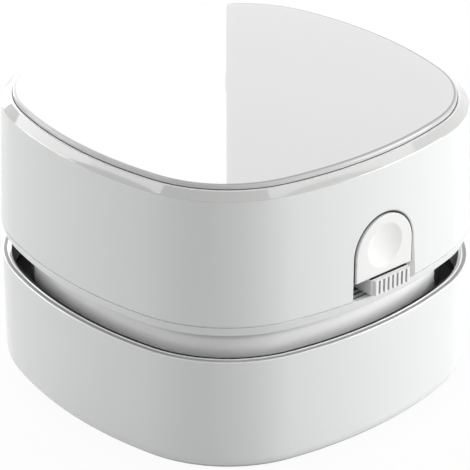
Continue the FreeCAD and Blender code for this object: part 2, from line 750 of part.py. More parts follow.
def motor_clip():
    """Steel strap over the motor, screwed to the cradle walls."""
    half = CLIP_WIDTH / 2
    reach = cradle_y + CRADLE_WALL
    strap = block(-half, half, -reach, reach, motor_top_z, clip_top_z)
    return strap.cut([rod(SCREW_SHANK, motor_top_z, clip_top_z, x, y) for x, y in CLIP_SCREWS])


def clip_screws():
    """Screws of the motor strap."""
    return Part.makeCompound([clip_screw(x, y) for x, y in CLIP_SCREWS])


def clip_screw(x, y):
    """Flat-headed screw that stays under the cover."""
    head = rod(SCREW_HEAD, clip_top_z, clip_top_z + CLIP_THICKNESS * 2, x, y)
    shank = rod(SCREW_SHANK, motor_top_z - SCREW_BITE, clip_top_z, x, y)
    return joined(head, [shank])


def motor_shaft():
    """Steel shaft of motor and fan."""
    return rod(SHAFT_RADIUS, fan_z, motor_cap_z + BEARING_LENGTH - BEARING_PROUD - FIT_GAP)


def armature():
    """Wound iron core with three slots."""
    z0 = armature_z()
    z1 = z0 + ARMATURE_LENGTH
    core = tube(ARMATURE_RADIUS, SHAFT_RADIUS, z0, z1)
    slots = []
    for i in range(3):
        slot = block(COMMUTATOR_RADIUS + SHAFT_RADIUS, ARMATURE_RADIUS + OVERCUT,
                     -ARMATURE_SLOT / 2, ARMATURE_SLOT / 2, z0, z1)
        slot.rotate(Vector(0, 0, 0), Vector(0, 0, 1), 120 * i)
        slots.append(slot)
    return core.cut(slots)


def commutator():
    """Copper commutator on the shaft."""
    z0 = commutator_z()
    return tube(COMMUTATOR_RADIUS, SHAFT_RADIUS, z0, z0 + COMMUTATOR_LENGTH)


def impeller():
    """Centrifugal fan: back plate, hub and blades swept back from the hub."""
    plate = rod(FAN_RADIUS, fan_top_z - FAN_PLATE, fan_top_z)
    hub = rod(FAN_HUB_RADIUS, fan_z, fan_top_z)
    blades = [fan_blade(360 * i / FAN_BLADES) for i in range(FAN_BLADES)]
    return joined(plate, [hub] + blades).cut(rod(SHAFT_RADIUS, fan_z - OVERCUT, fan_top_z + OVERCUT))


def fan_blade(angle):
    """One curved blade between the hub and the plate's edge."""
    bow = FAN_RADIUS * 0.75
    centre = Vector((FAN_RADIUS + FAN_HUB_RADIUS) / 2, -bow, fan_z)
    curve = Part.makeCylinder(bow + FAN_BLADE_THICKNESS, fan_top_z - fan_z - FAN_PLATE / 2, centre)
    curve = curve.cut(Part.makeCylinder(bow, fan_top_z - fan_z, centre))
    inside = rod(FAN_RADIUS, fan_z, fan_top_z)
    blade = curve.common(inside)
    blade = blade.common(block(FAN_HUB_RADIUS * 0.75, FAN_RADIUS, -FAN_RADIUS, FAN_RADIUS,
                               fan_z, fan_top_z))
    blade = blade.Solids[0]
    blade.rotate(Vector(0, 0, 0), Vector(0, 0, 1), angle)
    return blade


# -------------------------------------------------------------- the batteries
def battery_tray():
    """Twin trough for the two cells, open in the middle for the motor."""
    tray = block(-tray_half_x, tray_half_x, -tray_half_y, tray_half_y, tray_z, tray_top_z)
    cuts = [block(-motor_room_half, motor_room_half, -pocket_half, pocket_half, tray_z, tray_top_z)]
    for x in (-cell_x, cell_x):
        cuts.append(rod_y(trough_radius, -pocket_half, pocket_half, x, cell_z))
        cuts.append(block(x - trough_radius, x + trough_radius, -pocket_half, pocket_half,
                          cell_z, tray_top_z))
    cuts.append(block(-cell_x, cell_x, pocket_half - PLATE_CONTACT, pocket_half,
                      cell_z - CONTACT_HALF_HEIGHT, tray_top_z))
    ears = [rod(TRAY_EAR_RADIUS, tray_z, tray_z + TRAY_EAR_HEIGHT, x, y) for x, y in TRAY_EARS]
    pockets = [rod_y(trough_radius, -pocket_half, pocket_half, x, cell_z)
               for x in (-cell_x, cell_x)]
    ears = [ear.cut(pockets) for ear in ears]
    shape = joined(tray.cut(cuts), ears)
    holes = [rod(SCREW_SHANK + SCREW_HOLE_GAP, tray_z, tray_z + TRAY_EAR_HEIGHT, x, y)
             for x, y in TRAY_EARS]
    return shape.cut(holes)


def tray_screws():
    """Screws through the tray's ears into the chassis posts."""
    length = TRAY_EAR_HEIGHT + SCREW_BITE
    return Part.makeCompound([screw(x, y, tray_z + TRAY_EAR_HEIGHT, length, False)
                              for x, y in TRAY_EARS])


def aa_cell(x, front):
    """AA cell whose nub touches the contact at the front or the back wall."""
    tip = pocket_half - PLATE_CONTACT
    shoulder = tip - CELL_NUB_LENGTH
    flat = tip - CELL_LENGTH
    body = rod_y(cell_radius, flat, shoulder, x, cell_z)
    cell = joined(body, [rod_y(CELL_NUB_RADIUS, shoulder, tip, x, cell_z)])
    if front:
        cell = cell.mirror(Vector(0, 0, 0), Vector(0, 1, 0))
    return cell


def aa_cell_left():
    """Left cell, nub to the back."""
    return aa_cell(-cell_x, False)


def aa_cell_right():
    """Right cell, nub to the front."""
    return aa_cell(cell_x, True)


def contact_springs():
    """Coil springs at the two flat cell ends."""
    wall_y = pocket_half - PLATE_CONTACT
    springs = []
    for x, side in ((-cell_x, -1), (cell_x, 1)):
        spring = coil(SPRING_CONTACT_RADIUS, SPRING_CONTACT_WIRE,
                      SPRING_CONTACT_LENGTH, SPRING_CONTACT_TURNS)
        spring.rotate(Vector(0, 0, 0), Vector(1, 0, 0), 90 * side)
        spring.translate(Vector(x, side * wall_y, cell_z))
        springs.append(spring)
    return Part.makeCompound(springs)


def contact_plates():
    """Bridge plate at the back and two tabbed plates at the front."""
    low = cell_z - CONTACT_HALF_HEIGHT
    high = cell_z + CONTACT_HALF_HEIGHT
    inner = pocket_half - PLATE_CONTACT
    outer = tray_half_y + PLATE_CONTACT
    reach = cell_x + CONTACT_HALF_WIDTH
    plates = [block(-reach, reach, inner, pocket_half, low, high)]
    for side in (-1, 1):
        x0 = min(side * (cell_x - CONTACT_HALF_WIDTH), side * reach)
        plate = block(x0, x0 + 2 * CONTACT_HALF_WIDTH, -pocket_half, -inner, low, high)
        tab_left = side * tab_x - TAB_WIDTH / 2
        over = block(tab_left, tab_left + TAB_WIDTH, -outer, -inner,
                     tray_top_z, tray_top_z + PLATE_CONTACT)
        down = block(tab_left, tab_left + TAB_WIDTH, -outer, -tray_half_y,
                     tray_z + TRAY_EAR_HEIGHT + PLATE_CONTACT, tray_top_z + PLATE_CONTACT)
        plates.append(joined(plate, [over, down]))
    return Part.makeCompound(plates)


# ------------------------------------------------------------ switch and wires
def switch_body():
    """Slide switch behind the knob, with the lever's slot."""
    half = SWITCH_LENGTH / 2
    body = block(switch_x - half, switch_x + half, switch_y, switch_back_y, band_top_z, knob_top_z)
    reach = LEVER_WIDTH / 2 + KNOB_TRAVEL / 2 + KNOB_GAP
    rise = LEVER_HEIGHT / 2 + KNOB_GAP
    slot = block(switch_x - reach, switch_x + reach, switch_y, switch_y + LEVER_REACH + KNOB_GAP,
                 knob_middle_z - rise, knob_middle_z + rise)
    return body.cut(slot)


def switch_pin_x(side):
    """Place of the left or right switch pin."""
    return switch_x + side * SWITCH_PIN_SPREAD / 2


def switch_terminals():
    """Two solder pins at the back of the switch."""
    half = SWITCH_PIN_WIDTH / 2
    return Part.makeCompound([
        block(switch_pin_x(side) - half, switch_pin_x(side) + half, switch_back_y, pin_y,
              knob_middle_z - half, knob_middle_z + half) for side in (-1, 1)])


def tab_end(side):
    """Lower end of a contact tab, where its wire starts."""
    return Vector(side * tab_x, -tray_half_y - WIRE_RADIUS, tray_z + TRAY_EAR_HEIGHT + PLATE_CONTACT)


def wire_battery_switch():
    """Lead from the left contact tab to the switch."""
    top = tab_end(-1)
    low_z = (deck_top_z + tray_z) / 2
    pin = Vector(switch_pin_x(-1), pin_y, knob_middle_z)
    return bent_wire([top, Vector(top.x, top.y, low_z),
                      Vector(pin.x, pin.y + 2 * WIRE_BEND, pin.z), pin], WIRE_RADIUS, WIRE_BEND)


def wire_switch_motor():
    """Lead from the switch up beside the motor to its right terminal."""
    pin = Vector(switch_pin_x(1), pin_y, knob_middle_z)
    x = terminal_x + TERMINAL_WIDTH / 2
    y = -cradle_y - CRADLE_WALL - 2 * WIRE_BEND
    z = motor_top_z + FIT_GAP + WIRE_RADIUS
    return bent_wire([pin, Vector(pin.x, pin.y + 2 * WIRE_BEND, pin.z),
                      Vector(x, y, pin.z + WIRE_BEND), Vector(x, y, z),
                      Vector(x, -TERMINAL_THICKNESS / 2, z)], WIRE_RADIUS, WIRE_BEND)


def wire_motor_battery():
    """Lead from the motor's left terminal to the right contact tab."""
    top = tab_end(1)
    x = -terminal_x - TERMINAL_WIDTH / 2
    y = -cradle_y - CRADLE_WALL - 2 * WIRE_BEND
    z = motor_top_z + FIT_GAP + WIRE_RADIUS
    low_z = tray_z - 2 * WIRE_RADIUS - WIRE_BEND
    return bent_wire([Vector(x, -TERMINAL_THICKNESS / 2, z), Vector(x, y, z), Vector(x, y, low_z),
                      Vector(top.x, top.y, low_z), top], WIRE_RADIUS, WIRE_BEND)


# ------------------------------------------------------------ the upper shell
def button_opening():
    """Arched opening with a flared mouth that holds the button and the knob."""
    radius = button_radius + BUTTON_GAP
    low_z = band_top_z - OVERCUT
    straight = arch_plate(radius, low_z, button_face_y, flange_back_y + OVERCUT)
    mouth_y = button_face_y - BUTTON_FLARE_DEPTH
    flare = Part.makeLoft([arch(radius, low_z, button_face_y),
                           arch(radius + BUTTON_FLARE_DEPTH, low_z - BUTTON_FLARE_DEPTH, mouth_y)],
                          True, True)
    return [straight, flare]


def shell_boss(x, y):
    """Screw boss with the web that ties it to the side wall."""
    z1 = deck_top_z + SHELL_BOSS_HEIGHT
    boss = rod(BOSS_RADIUS, deck_top_z, z1, x, y)
    wall_x = body_half - SHELL_WALL / 2 - side_drop(y)
    x0 = min(x, math.copysign(wall_x, x))
    x1 = max(x, math.copysign(wall_x, x))
    web = block(x0, x1, y - SHELL_WEB / 2, y + SHELL_WEB / 2,
                band_top_z + LIP_HEIGHT + KNOB_GAP, z1)
    return boss.fuse(web).cut(rod(SCREW_SHANK, deck_top_z, deck_top_z + SCREW_BITE, x, y))


def upper_shell():
    """Outer housing of the head, with the seat of the cover plate."""
    seam_z = band_top_z + SEAM_BEVEL
    outer = stack([(body_half - SEAM_BEVEL, band_top_z), (body_half, seam_z),
                   (shoulder_half, shoulder_z), (lip_half, lip_z)])
    hollow = stack([(body_half - SHELL_WALL, band_top_z - OVERCUT),
                    (shoulder_half - SHELL_WALL, ceiling_z)])
    seat = prism(lip_half, plate_z, lip_z + OVERCUT)
    opening = prism(cover_opening_half, ceiling_z - OVERCUT, lip_z + OVERCUT)
    shape = outer.cut([hollow, seat, opening] + button_opening())
    return joined(shape, [shell_boss(x, y) for x, y in SHELL_BOSSES])


def shell_screws():
    """Screws from the fan chamber up into the shell bosses."""
    length = DECK_THICKNESS + SCREW_BITE
    return Part.makeCompound([screw(x, y, deck_z, length, True) for x, y in SHELL_BOSSES])


# ---------------------------------------------------------------- the top cover
def top_plate():
    """Glossy cover plate with a slightly crowned top."""
    crown_radius = (plate_half ** 2 + PLATE_CROWN ** 2) / (2 * PLATE_CROWN)
    peak_z = plate_top_z + PLATE_CROWN
    plate = prism(plate_half, plate_z, peak_z)
    dome = Part.makeSphere(crown_radius, Vector(0, 0, peak_z - crown_radius))
    plate = plate.common(dome)
    rim = [e for e in plate.Edges if e.BoundBox.ZMin > plate_z + PLATE_THICKNESS / 2
           and e.BoundBox.ZMax < peak_z - FIT_GAP and e.Length > FIT_GAP
           and e.BoundBox.ZLength < PLATE_CROWN]
    return plate.makeFillet(PLATE_EDGE_FILLET, rim)


def cover_frame():
    """Frame under the plate, with four snap tabs inside the opening."""
    frame = ring(cover_frame_half, cover_frame_half - COVER_FRAME_WIDTH, cover_frame_z, plate_z)
    half = SNAP_WIDTH / 2
    low = cover_frame_z - SNAP_LENGTH
    outer = cover_frame_half - side_drop(half)
    tab = block(outer - SNAP_THICKNESS, outer, -half, half, low, plate_z)
    tabs = []
    for i in range(4):
        copy = tab.copy()
        copy.rotate(Vector(0, 0, 0), Vector(0, 0, 1), 90 * i)
        tabs.append(copy)
    return joined(frame, tabs)


# ---------------------------------------------------------------- the controls
def push_button():
    """Release button: arched cap with a finger dimple, stem and hook arm."""
    front_y = button_face_y - BUTTON_RAISE
    cap = arch_plate(button_radius, button_z, front_y, button_back_y)
    flange = arch_plate(button_radius + BUTTON_FLANGE, button_z, button_back_y, flange_back_y)
    ball = (DIMPLE_RADIUS ** 2 + DIMPLE_DEPTH ** 2) / (2 * DIMPLE_DEPTH)
    dimple = Part.makeSphere(ball, Vector(CONTROL_X, front_y + DIMPLE_DEPTH - ball,
                                          button_arch_z))
    stem = rod_y(STEM_RADIUS, flange_back_y, hook_back_y, CONTROL_X, button_arch_z)
    half = HOOK_WIDTH / 2
    arm = block(CONTROL_X - half, CONTROL_X + half, hook_y, hook_back_y,
                nose_z, button_arch_z + STEM_RADIUS)
    nose = block(CONTROL_X - half, CONTROL_X + half, nose_y, hook_back_y,
                 nose_z, nose_z + HOOK_NOSE_HEIGHT)
    return joined(cap.cut(dimple), [flange, stem, arm, nose])


def button_spring():
    """Return spring round the button's stem."""
    spring = coil(BUTTON_SPRING_RADIUS, BUTTON_SPRING_WIRE,
                  guide_y - flange_back_y, BUTTON_SPRING_TURNS)
    spring.rotate(Vector(0, 0, 0), Vector(1, 0, 0), -90)
    spring.translate(Vector(CONTROL_X, flange_back_y, button_arch_z))
    return spring


def slide_knob():
    """Ribbed knob of the power switch."""
    left = knob_x - KNOB_LENGTH / 2
    body = block(left, left + KNOB_LENGTH, knob_face_y + KNOB_RIB_DEPTH, knob_back_y,
                 knob_z, knob_top_z)
    pitch = (KNOB_LENGTH - KNOB_RIB_DEPTH) / KNOB_RIBS
    ribs = []
    for i in range(KNOB_RIBS):
        x = left + KNOB_RIB_DEPTH / 2 + pitch * i + pitch * (1 - KNOB_RIB_FILL) / 2
        ribs.append(block(x, x + pitch * KNOB_RIB_FILL, knob_face_y, knob_face_y + KNOB_RIB_DEPTH,
                          knob_z, knob_top_z))
    return joined(body, ribs).cut(lever_block())


def lever_block():
    """Lever that joins the knob to the switch contact."""
    half = LEVER_WIDTH / 2
    rise = LEVER_HEIGHT / 2
    return block(knob_x - half, knob_x + half, knob_back_y - LEVER_SOCKET, switch_y + LEVER_REACH,
                 knob_middle_z - rise, knob_middle_z + rise)


def switch_lever():
    """The lever as a piece of its own."""
    return lever_block()


PIECES = [
    dust_bin, seat_ring, intake_duct, brush_ring, brush_tufts, rubber_feet,
    chassis, fan_base, head_seal, exhaust_foam, filter_frame, filter_mesh, fan_base_screws,
    motor_can, motor_end_cap, motor_bearings, motor_magnets, motor_brushes, motor_terminals,
    motor_clip, clip_screws, motor_shaft, armature, commutator, impeller,
    battery_tray, tray_screws, aa_cell_left, aa_cell_right, contact_springs, contact_plates,
    switch_body, switch_terminals, wire_battery_switch, wire_switch_motor, wire_motor_battery,
    upper_shell, shell_screws, top_plate, cover_frame,
    push_button, button_spring, slide_knob, switch_lever,
]


def main():
    """Write each piece to its own file."""
    os.makedirs("parts", exist_ok=True)
    for make in PIECES:
        shape = make()
        shape.exportStep("parts/" + make.__name__ + ".step")


main()
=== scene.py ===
import math

import bmesh
import bpy
from mathutils import Matrix, Vector


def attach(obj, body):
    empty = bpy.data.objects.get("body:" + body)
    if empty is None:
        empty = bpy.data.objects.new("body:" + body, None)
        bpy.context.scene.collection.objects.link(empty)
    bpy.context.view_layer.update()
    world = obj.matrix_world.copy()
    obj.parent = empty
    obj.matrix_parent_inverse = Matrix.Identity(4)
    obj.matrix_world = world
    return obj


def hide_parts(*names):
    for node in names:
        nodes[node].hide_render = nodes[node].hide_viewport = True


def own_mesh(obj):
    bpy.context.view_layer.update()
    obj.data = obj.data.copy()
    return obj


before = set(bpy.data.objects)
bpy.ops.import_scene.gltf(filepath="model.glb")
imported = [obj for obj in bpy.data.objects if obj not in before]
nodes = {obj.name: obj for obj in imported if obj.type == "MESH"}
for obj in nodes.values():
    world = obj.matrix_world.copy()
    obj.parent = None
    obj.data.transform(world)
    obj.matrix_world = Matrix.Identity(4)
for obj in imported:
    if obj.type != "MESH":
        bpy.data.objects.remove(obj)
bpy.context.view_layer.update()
MM = 0.001


# ------------------------------------------------------------------ camera
# A long lens half a metre away. It looks down on the front left corner, so
# the front with the controls is on the right of the picture.
CAMERA_PLACE = (-0.29528, -0.33533, 0.26051)
CAMERA_TURN = -41.38
CAMERA_RISE = 27.505
LENS_LENGTH = 192.88
SENSOR_WIDTH = 36
NEAR_LIMIT = 0.02
FAR_LIMIT = 20
bpy.ops.object.camera_add(location=CAMERA_PLACE,
                          rotation=(math.radians(90 - CAMERA_RISE), 0, math.radians(CAMERA_TURN)))
camera = bpy.context.object
camera.data.sensor_width = SENSOR_WIDTH
camera.data.lens = LENS_LENGTH
camera.data.clip_start = NEAR_LIMIT
camera.data.clip_end = FAR_LIMIT
bpy.context.scene.camera = camera
bpy.context.scene.view_settings.view_transform = "Standard"


# ------------------------------------------------------------ table and light
# White table top that fades into a white room. Cloth-covered soft boxes stand
# behind, on the left and on the right, and three more hang from the ceiling.
def linear(hex_colour):
    """sRGB hex to the linear colour that a shader takes."""
    parts = [int(hex_colour[i:i + 2], 16) / 255 for i in (1, 3, 5)]
    return [p / 12.92 if p <= 0.04045 else ((p + 0.055) / 1.055) ** 2.4 for p in parts] + [1.0]


def add_node(tree, kind, properties={}, inputs={}):
    """Adds a node with its properties, and its inputs as values or as links from sockets."""
    made = tree.nodes.new(kind)
    for name, value in properties.items():
        setattr(made, name, value)
    for name, value in inputs.items():
        if isinstance(value, bpy.types.NodeSocket):
            tree.links.new(value, made.inputs[name])
        else:
            made.inputs[name].default_value = value
    return made


def eye_sees(tree):
    """1 where the camera looks straight, in a mirror or through glass, and 0 for other light."""
    path = add_node(tree, "ShaderNodeLightPath")
    seen = path.outputs["Is Camera Ray"]
    for way in ("Is Glossy Ray", "Is Transmission Ray"):
        seen = add_node(tree, "ShaderNodeMath", {"operation": "MAXIMUM"},
                        {0: seen, 1: path.outputs[way]}).outputs[0]
    return seen


def new_material(name):
    """Adds a material, and gives it with its node tree and its shader."""
    material = bpy.data.materials.new(name)
    material.use_nodes = True
    return material, material.node_tree, material.node_tree.nodes["Principled BSDF"]


ROOM_HORIZON = 0.96
ROOM_ZENITH = 0.09
FADE_START = 0.3
FADE_END = 0.8
TABLE_SIZE = 8.0
TABLE_GLOW = 1.05
TABLE_SHARE = 0.9
world = bpy.data.worlds.new("white_room")
bpy.context.scene.world = world
world.use_nodes = True
tree = world.node_tree
tree.nodes.clear()
rise = add_node(tree, "ShaderNodeSeparateXYZ", {},
                {0: add_node(tree, "ShaderNodeTexCoord").outputs["Generated"]})
glow = add_node(tree, "ShaderNodeMapRange", {"interpolation_type": "SMOOTHSTEP"},
                {"Value": rise.outputs["Z"], "From Min": FADE_START, "From Max": FADE_END,
                 "To Min": ROOM_HORIZON, "To Max": ROOM_ZENITH})
strength = add_node(tree, "ShaderNodeMapRange", {},
                    {"Value": eye_sees(tree), "To Min": glow.outputs["Result"], "To Max": 1.0})
sky = add_node(tree, "ShaderNodeBackground", {},
               {"Color": linear("#ffffff"), "Strength": strength.outputs["Result"]})
add_node(tree, "ShaderNodeOutputWorld", {}, {"Surface": sky.outputs[0]})

bpy.ops.object.select_all(action="DESELECT")
bpy.ops.mesh.primitive_plane_add(size=TABLE_SIZE, location=(0, 0, 0))
table = bpy.context.object
table.name = "table_top"
# Matt white laminate. Camera and reflections see it fade into the room, and it
# keeps the object's shadow.
laminate, tree, shader = new_material("white_laminate")
shader.inputs["Base Color"].default_value = linear("#bebebe")
shader.inputs["Roughness"].default_value = 0.9
shader.inputs["Specular IOR Level"].default_value = 0.0
glow = add_node(tree, "ShaderNodeEmission", {},
                {"Color": linear("#ffffff"), "Strength": TABLE_GLOW})
share = add_node(tree, "ShaderNodeMath", {"operation": "MULTIPLY"},
                 {0: eye_sees(tree), 1: TABLE_SHARE})
blend = add_node(tree, "ShaderNodeMixShader", {},
                 {0: share.outputs[0], 1: shader.outputs[0], 2: glow.outputs[0]})
tree.links.new(blend.outputs[0], tree.nodes["Material Output"].inputs["Surface"])
table.data.materials.append(laminate)

# Each box's name, its place and what it faces, its width and height, and its power.
SOFT_BOXES = (
    ("box_behind", (0.2196, 0.6728, 0.33), (-0.4415, -0.0775, 0.33), 0.55, 0.66, 3.3),
    ("box_left", (-0.46, 0.67, 0.24), (0.0, 0.0, 0.03), 0.40, 0.44, 2.3),
    ("box_right", (0.60, -0.57, 0.30), (0.0, 0.0, 0.03), 0.50, 0.60, 6.0),
    ("box_ceiling_far", (-0.28, 1.415, 1.0), (-0.28, 1.415, 0.0), 0.44, 1.07, 2.4),
    ("box_ceiling_near", (-0.28, 0.61, 1.0), (-0.28, 0.61, 0.0), 0.44, 0.54, 0.9),
    ("box_ceiling_right", (0.62, -0.12, 1.0), (0.62, -0.12, 0.0), 0.97, 0.6, 1.7),
)
for name, place, target, width, height, power in SOFT_BOXES:
    aim = (Vector(target) - Vector(place)).to_track_quat("-Z", "Y").to_euler()
    bpy.ops.object.light_add(type="AREA", location=place, rotation=aim)
    lamp = bpy.context.object
    lamp.name = name
    lamp.data.shape = "RECTANGLE"
    lamp.data.size = width
    lamp.data.size_y = height
    lamp.data.energy = power


# ---------------------------------------------------------------- dust bin
# Injection-moulded ABS cup, glossy outside. Its mouth has a rounded outer edge, a flat rim greyed
# as painted shade and a fine bead, and its floor has the intake.
BODY_HALF = 42.5
SIDE_RADIUS = 82.4
CORNER_RADIUS = 26.8
SIDE_STEPS = 24
CORNER_STEPS = 36
BIN_INNER_HALF = 40.75
BIN_LOW = 1.5
BIN_FLOOR = 3.3
BIN_RIM = 25.5
BIN_FOOT_ROUND = 3.0
BIN_RIM_ROUND = 0.22
BIN_FLOOR_ROUND = 2.0
BEAD_ROUND = 0.05
BEAD_HALF = 41.56
BEAD_INNER = 41.34
BEAD_RISE = 0.14
STRIP_SINK = 0.05
STRIP_GAP = 0.04
STRIP_LEAST = 0.02
STRIP_NARROWS = -24.0
STRIP_END = -6.0
BRUSH_INNER = 12.2
BRUSH_OUTER = 16.2
BRUSH_SEAT = 2.3
DUCT_OUTER = 10.4
DUCT_INNER = 9.0
DUCT_SEAT = 2.5
NEAR = 0.01
SMOOTH_BELOW = 32
CLOUD_SIZE = 40


def outline(half, z):
    """The body's plan outline at one height: four wide arcs and four corner arcs, in metres."""
    behind = SIDE_RADIUS - BODY_HALF
    reach = SIDE_RADIUS - CORNER_RADIUS
    centre = (math.sqrt(2 * reach ** 2 - behind ** 2) - behind) / 2
    turn = math.atan2(centre, centre + behind)
    arcs = ((-behind, 0, behind + half, -turn, 2 * turn, SIDE_STEPS),
            (centre, centre, CORNER_RADIUS - BODY_HALF + half, turn, math.pi / 2 - 2 * turn,
             CORNER_STEPS))
    points = []
    for quarter in range(4):
        c, s = round(math.cos(quarter * math.pi / 2)), round(math.sin(quarter * math.pi / 2))
        for cx, cy, radius, first, sweep, steps in arcs:
            for step in range(steps):
                angle = first + sweep * step / steps
                x, y = cx + radius * math.cos(angle), cy + radius * math.sin(angle)
                points.append(Vector((x * c - y * s, x * s + y * c, z)) * MM)
    return points


def circle(radius, z):
    """A round ring whose points lie in line with the outline's."""
    points = [Vector((p.x, p.y, 0)).normalized() * radius for p in outline(BODY_HALF, 0)]
    return [(p + Vector((0, 0, z))) * MM for p in points]


def select_level(piece, *levels):
    """Selects the edges that lie on these rings of a piece in edit mode."""
    bpy.ops.mesh.select_all(action="DESELECT")
    work = bmesh.from_edit_mesh(piece.data)
    level = work.verts.layers.int["level"]
    for edge in work.edges:
        if edge.verts[0][level] == edge.verts[1][level] and edge.verts[0][level] in levels:
            edge.select_set(True)
    bmesh.update_edit_mesh(piece.data)


def pull_rings(name, rings, loop=False):
    """Adds a circle, sets it on the first ring and extrudes it from ring to ring."""
    if bpy.context.mode != "OBJECT":
        bpy.ops.object.mode_set(mode="OBJECT")
    bpy.ops.object.select_all(action="DESELECT")
    bpy.ops.mesh.primitive_circle_add(vertices=len(rings[0]), radius=MM)
    piece = bpy.context.object
    piece.name = piece.data.name = name
    station = piece.data.attributes.new("station", "INT", "POINT")
    station.data.foreach_set("value", range(len(rings[0])))
    piece.data.attributes.new("level", "INT", "POINT")
    bpy.ops.object.mode_set(mode="EDIT")
    bpy.ops.mesh.select_all(action="SELECT")
    for number, ring in enumerate(rings):
        if number:
            bpy.ops.mesh.extrude_region_move()
        work = bmesh.from_edit_mesh(piece.data)
        station = work.verts.layers.int["station"]
        level = work.verts.layers.int["level"]
        for vertex in work.verts:
            if vertex.select:
                vertex.co = ring[vertex[station]]
                vertex[level] = number
        bmesh.update_edit_mesh(piece.data)
    if loop:
        select_level(piece, 0, len(rings) - 1)
        bpy.ops.mesh.bridge_edge_loops()
    else:
        for end in (0, len(rings) - 1):
            select_level(piece, end)
            bpy.ops.mesh.edge_face_add()
    bpy.ops.mesh.select_all(action="SELECT")
    bpy.ops.mesh.normals_make_consistent(inside=False)
    return piece


def round_level(piece, level, radius, segments):
    """Rounds the edge along one ring of a piece in edit mode."""
    select_level(piece, level)
    bpy.ops.mesh.bevel(offset=radius * MM, segments=segments, affect="EDGES", clamp_overlap=False)


def choose(piece):
    """Leaves edit mode and selects one piece alone."""
    if bpy.context.mode != "OBJECT":
        bpy.ops.object.mode_set(mode="OBJECT")
    bpy.ops.object.select_all(action="DESELECT")
    piece.select_set(True)
    bpy.context.view_layer.objects.active = piece


def finish(piece, material, slot, body, *replaced):
    """Smooths the curved faces of a piece and joins it to the object."""
    choose(piece)
    bpy.ops.object.shade_smooth_by_angle(angle=math.radians(SMOOTH_BELOW))
    bpy.ops.object.modifier_add(type="WEIGHTED_NORMAL")
    piece.modifiers[-1].keep_sharp = True
    bpy.ops.object.modifier_apply(modifier=piece.modifiers[-1].name)
    piece.data.materials.clear()
    piece.data.materials.append(material)
    for face in piece.data.polygons:
        face.material_index = 0
    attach(piece, body)
    if replaced:
        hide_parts(*replaced)


def trim(piece, material, chosen):
    """Gives a second finish to the faces whose middle and normal a test picks."""
    piece.data.materials.append(material)
    for face in piece.data.polygons:
        if chosen(face.center / MM, face.normal):
            face.material_index = len(piece.data.materials) - 1


def raise_relief(tree, shader, height, depth_mm, edge_mm=0.0):
    """Gives a shader a relief of this depth from a pattern's height, and softened edges."""
    bump = add_node(tree, "ShaderNodeBump", {},
                    {"Strength": 1.0, "Distance": depth_mm * MM, "Height": height})
    if edge_mm:
        edge = add_node(tree, "ShaderNodeBevel", {"samples": 4}, {"Radius": edge_mm * MM})
        tree.links.new(edge.outputs["Normal"], bump.inputs["Normal"])
    tree.links.new(bump.outputs["Normal"], shader.inputs["Normal"])


def plastic(name, colour, roughness, ior, peel_mm, peel_depth, drift, edge_mm=0.0):
    """Moulded plastic: a fine wave from the mould, a faint drift of colour and soft edges."""
    material, tree, shader = new_material(name)
    shader.inputs["Roughness"].default_value = roughness
    shader.inputs["IOR"].default_value = ior
    place = add_node(tree, "ShaderNodeTexCoord").outputs["Object"]
    cloud = add_node(tree, "ShaderNodeTexNoise", {},
                     {"Vector": place, "Scale": 1 / (CLOUD_SIZE * MM), "Detail": 2.0})
    tone = add_node(tree, "ShaderNodeHueSaturation", {}, {"Color": linear(colour)})
    value = add_node(tree, "ShaderNodeMapRange", {},
                     {"Value": cloud.outputs["Fac"], "To Min": 1 - drift, "To Max": 1 + drift})
    tree.links.new(value.outputs["Result"], tone.inputs["Value"])
    tree.links.new(tone.outputs["Color"], shader.inputs["Base Color"])
    peel = add_node(tree, "ShaderNodeTexNoise", {},
                    {"Vector": place, "Scale": 1 / (peel_mm * MM), "Detail": 3.0})
    raise_relief(tree, shader, peel.outputs["Fac"], peel_depth, edge_mm)
    return material


def surface(name, light, dark, roughness, metallic, pattern, grain, relief, edge_mm=0.0,
            settings={}, inputs={}):
    """Material whose colour, gloss and relief follow one pattern. The grain is in mm."""
    material, tree, shader = new_material(name)
    shader.inputs["Metallic"].default_value = metallic
    place = add_node(tree, "ShaderNodeTexCoord").outputs["Object"]
    scaled = add_node(tree, "ShaderNodeMapping", {},
                      {"Vector": place, "Scale": [1 / (g * MM) for g in grain]})
    cells = add_node(tree, pattern, settings, {"Vector": scaled.outputs[0], **inputs})
    amount = cells.outputs["Distance" if pattern == "ShaderNodeTexVoronoi" else "Fac"]
    colour = add_node(tree, "ShaderNodeMix", {"data_type": "RGBA"}, {0: amount})
    colour.inputs[6].default_value = linear(dark)
    colour.inputs[7].default_value = linear(light)
    tree.links.new(colour.outputs[2], shader.inputs["Base Color"])
    gloss = add_node(tree, "ShaderNodeMapRange", {},
                     {"Value": amount, "To Min": roughness * 1.15, "To Max": roughness * 0.85})
    tree.links.new(gloss.outputs["Result"], shader.inputs["Roughness"])
    raise_relief(tree, shader, amount, relief, edge_mm)
    return material


# White ABS from a polished mould: a clear gloss with a faint orange peel.
abs_gloss = plastic("white_abs_gloss", "#e4e6e5", 0.24, 1.53, 2.4, 0.006, 0.006, 0.1)
# The same ABS in an even satin, greyed as painted shade.
greyed_painted_shade = plastic("white_greyed_painted_shade", "#bababa", 0.55, 1.53, 0.25, 0.012, 0.01)


def rim_shadow_edge(z):
    """Outer edge of the rim's black strip of painted shadow. It narrows to nothing from x + y =
    STRIP_NARROWS to STRIP_END, which is before two of the corners."""
    ring = []
    for wide, thin in zip(outline(BEAD_INNER - STRIP_GAP, z),
                          outline(BIN_INNER_HALF + STRIP_LEAST, z)):
        share = ((wide.x + wide.y) / MM - STRIP_NARROWS) / (STRIP_END - STRIP_NARROWS)
        ring.append(wide.lerp(thin, min(max(share, 0.0), 1.0)))
    return ring


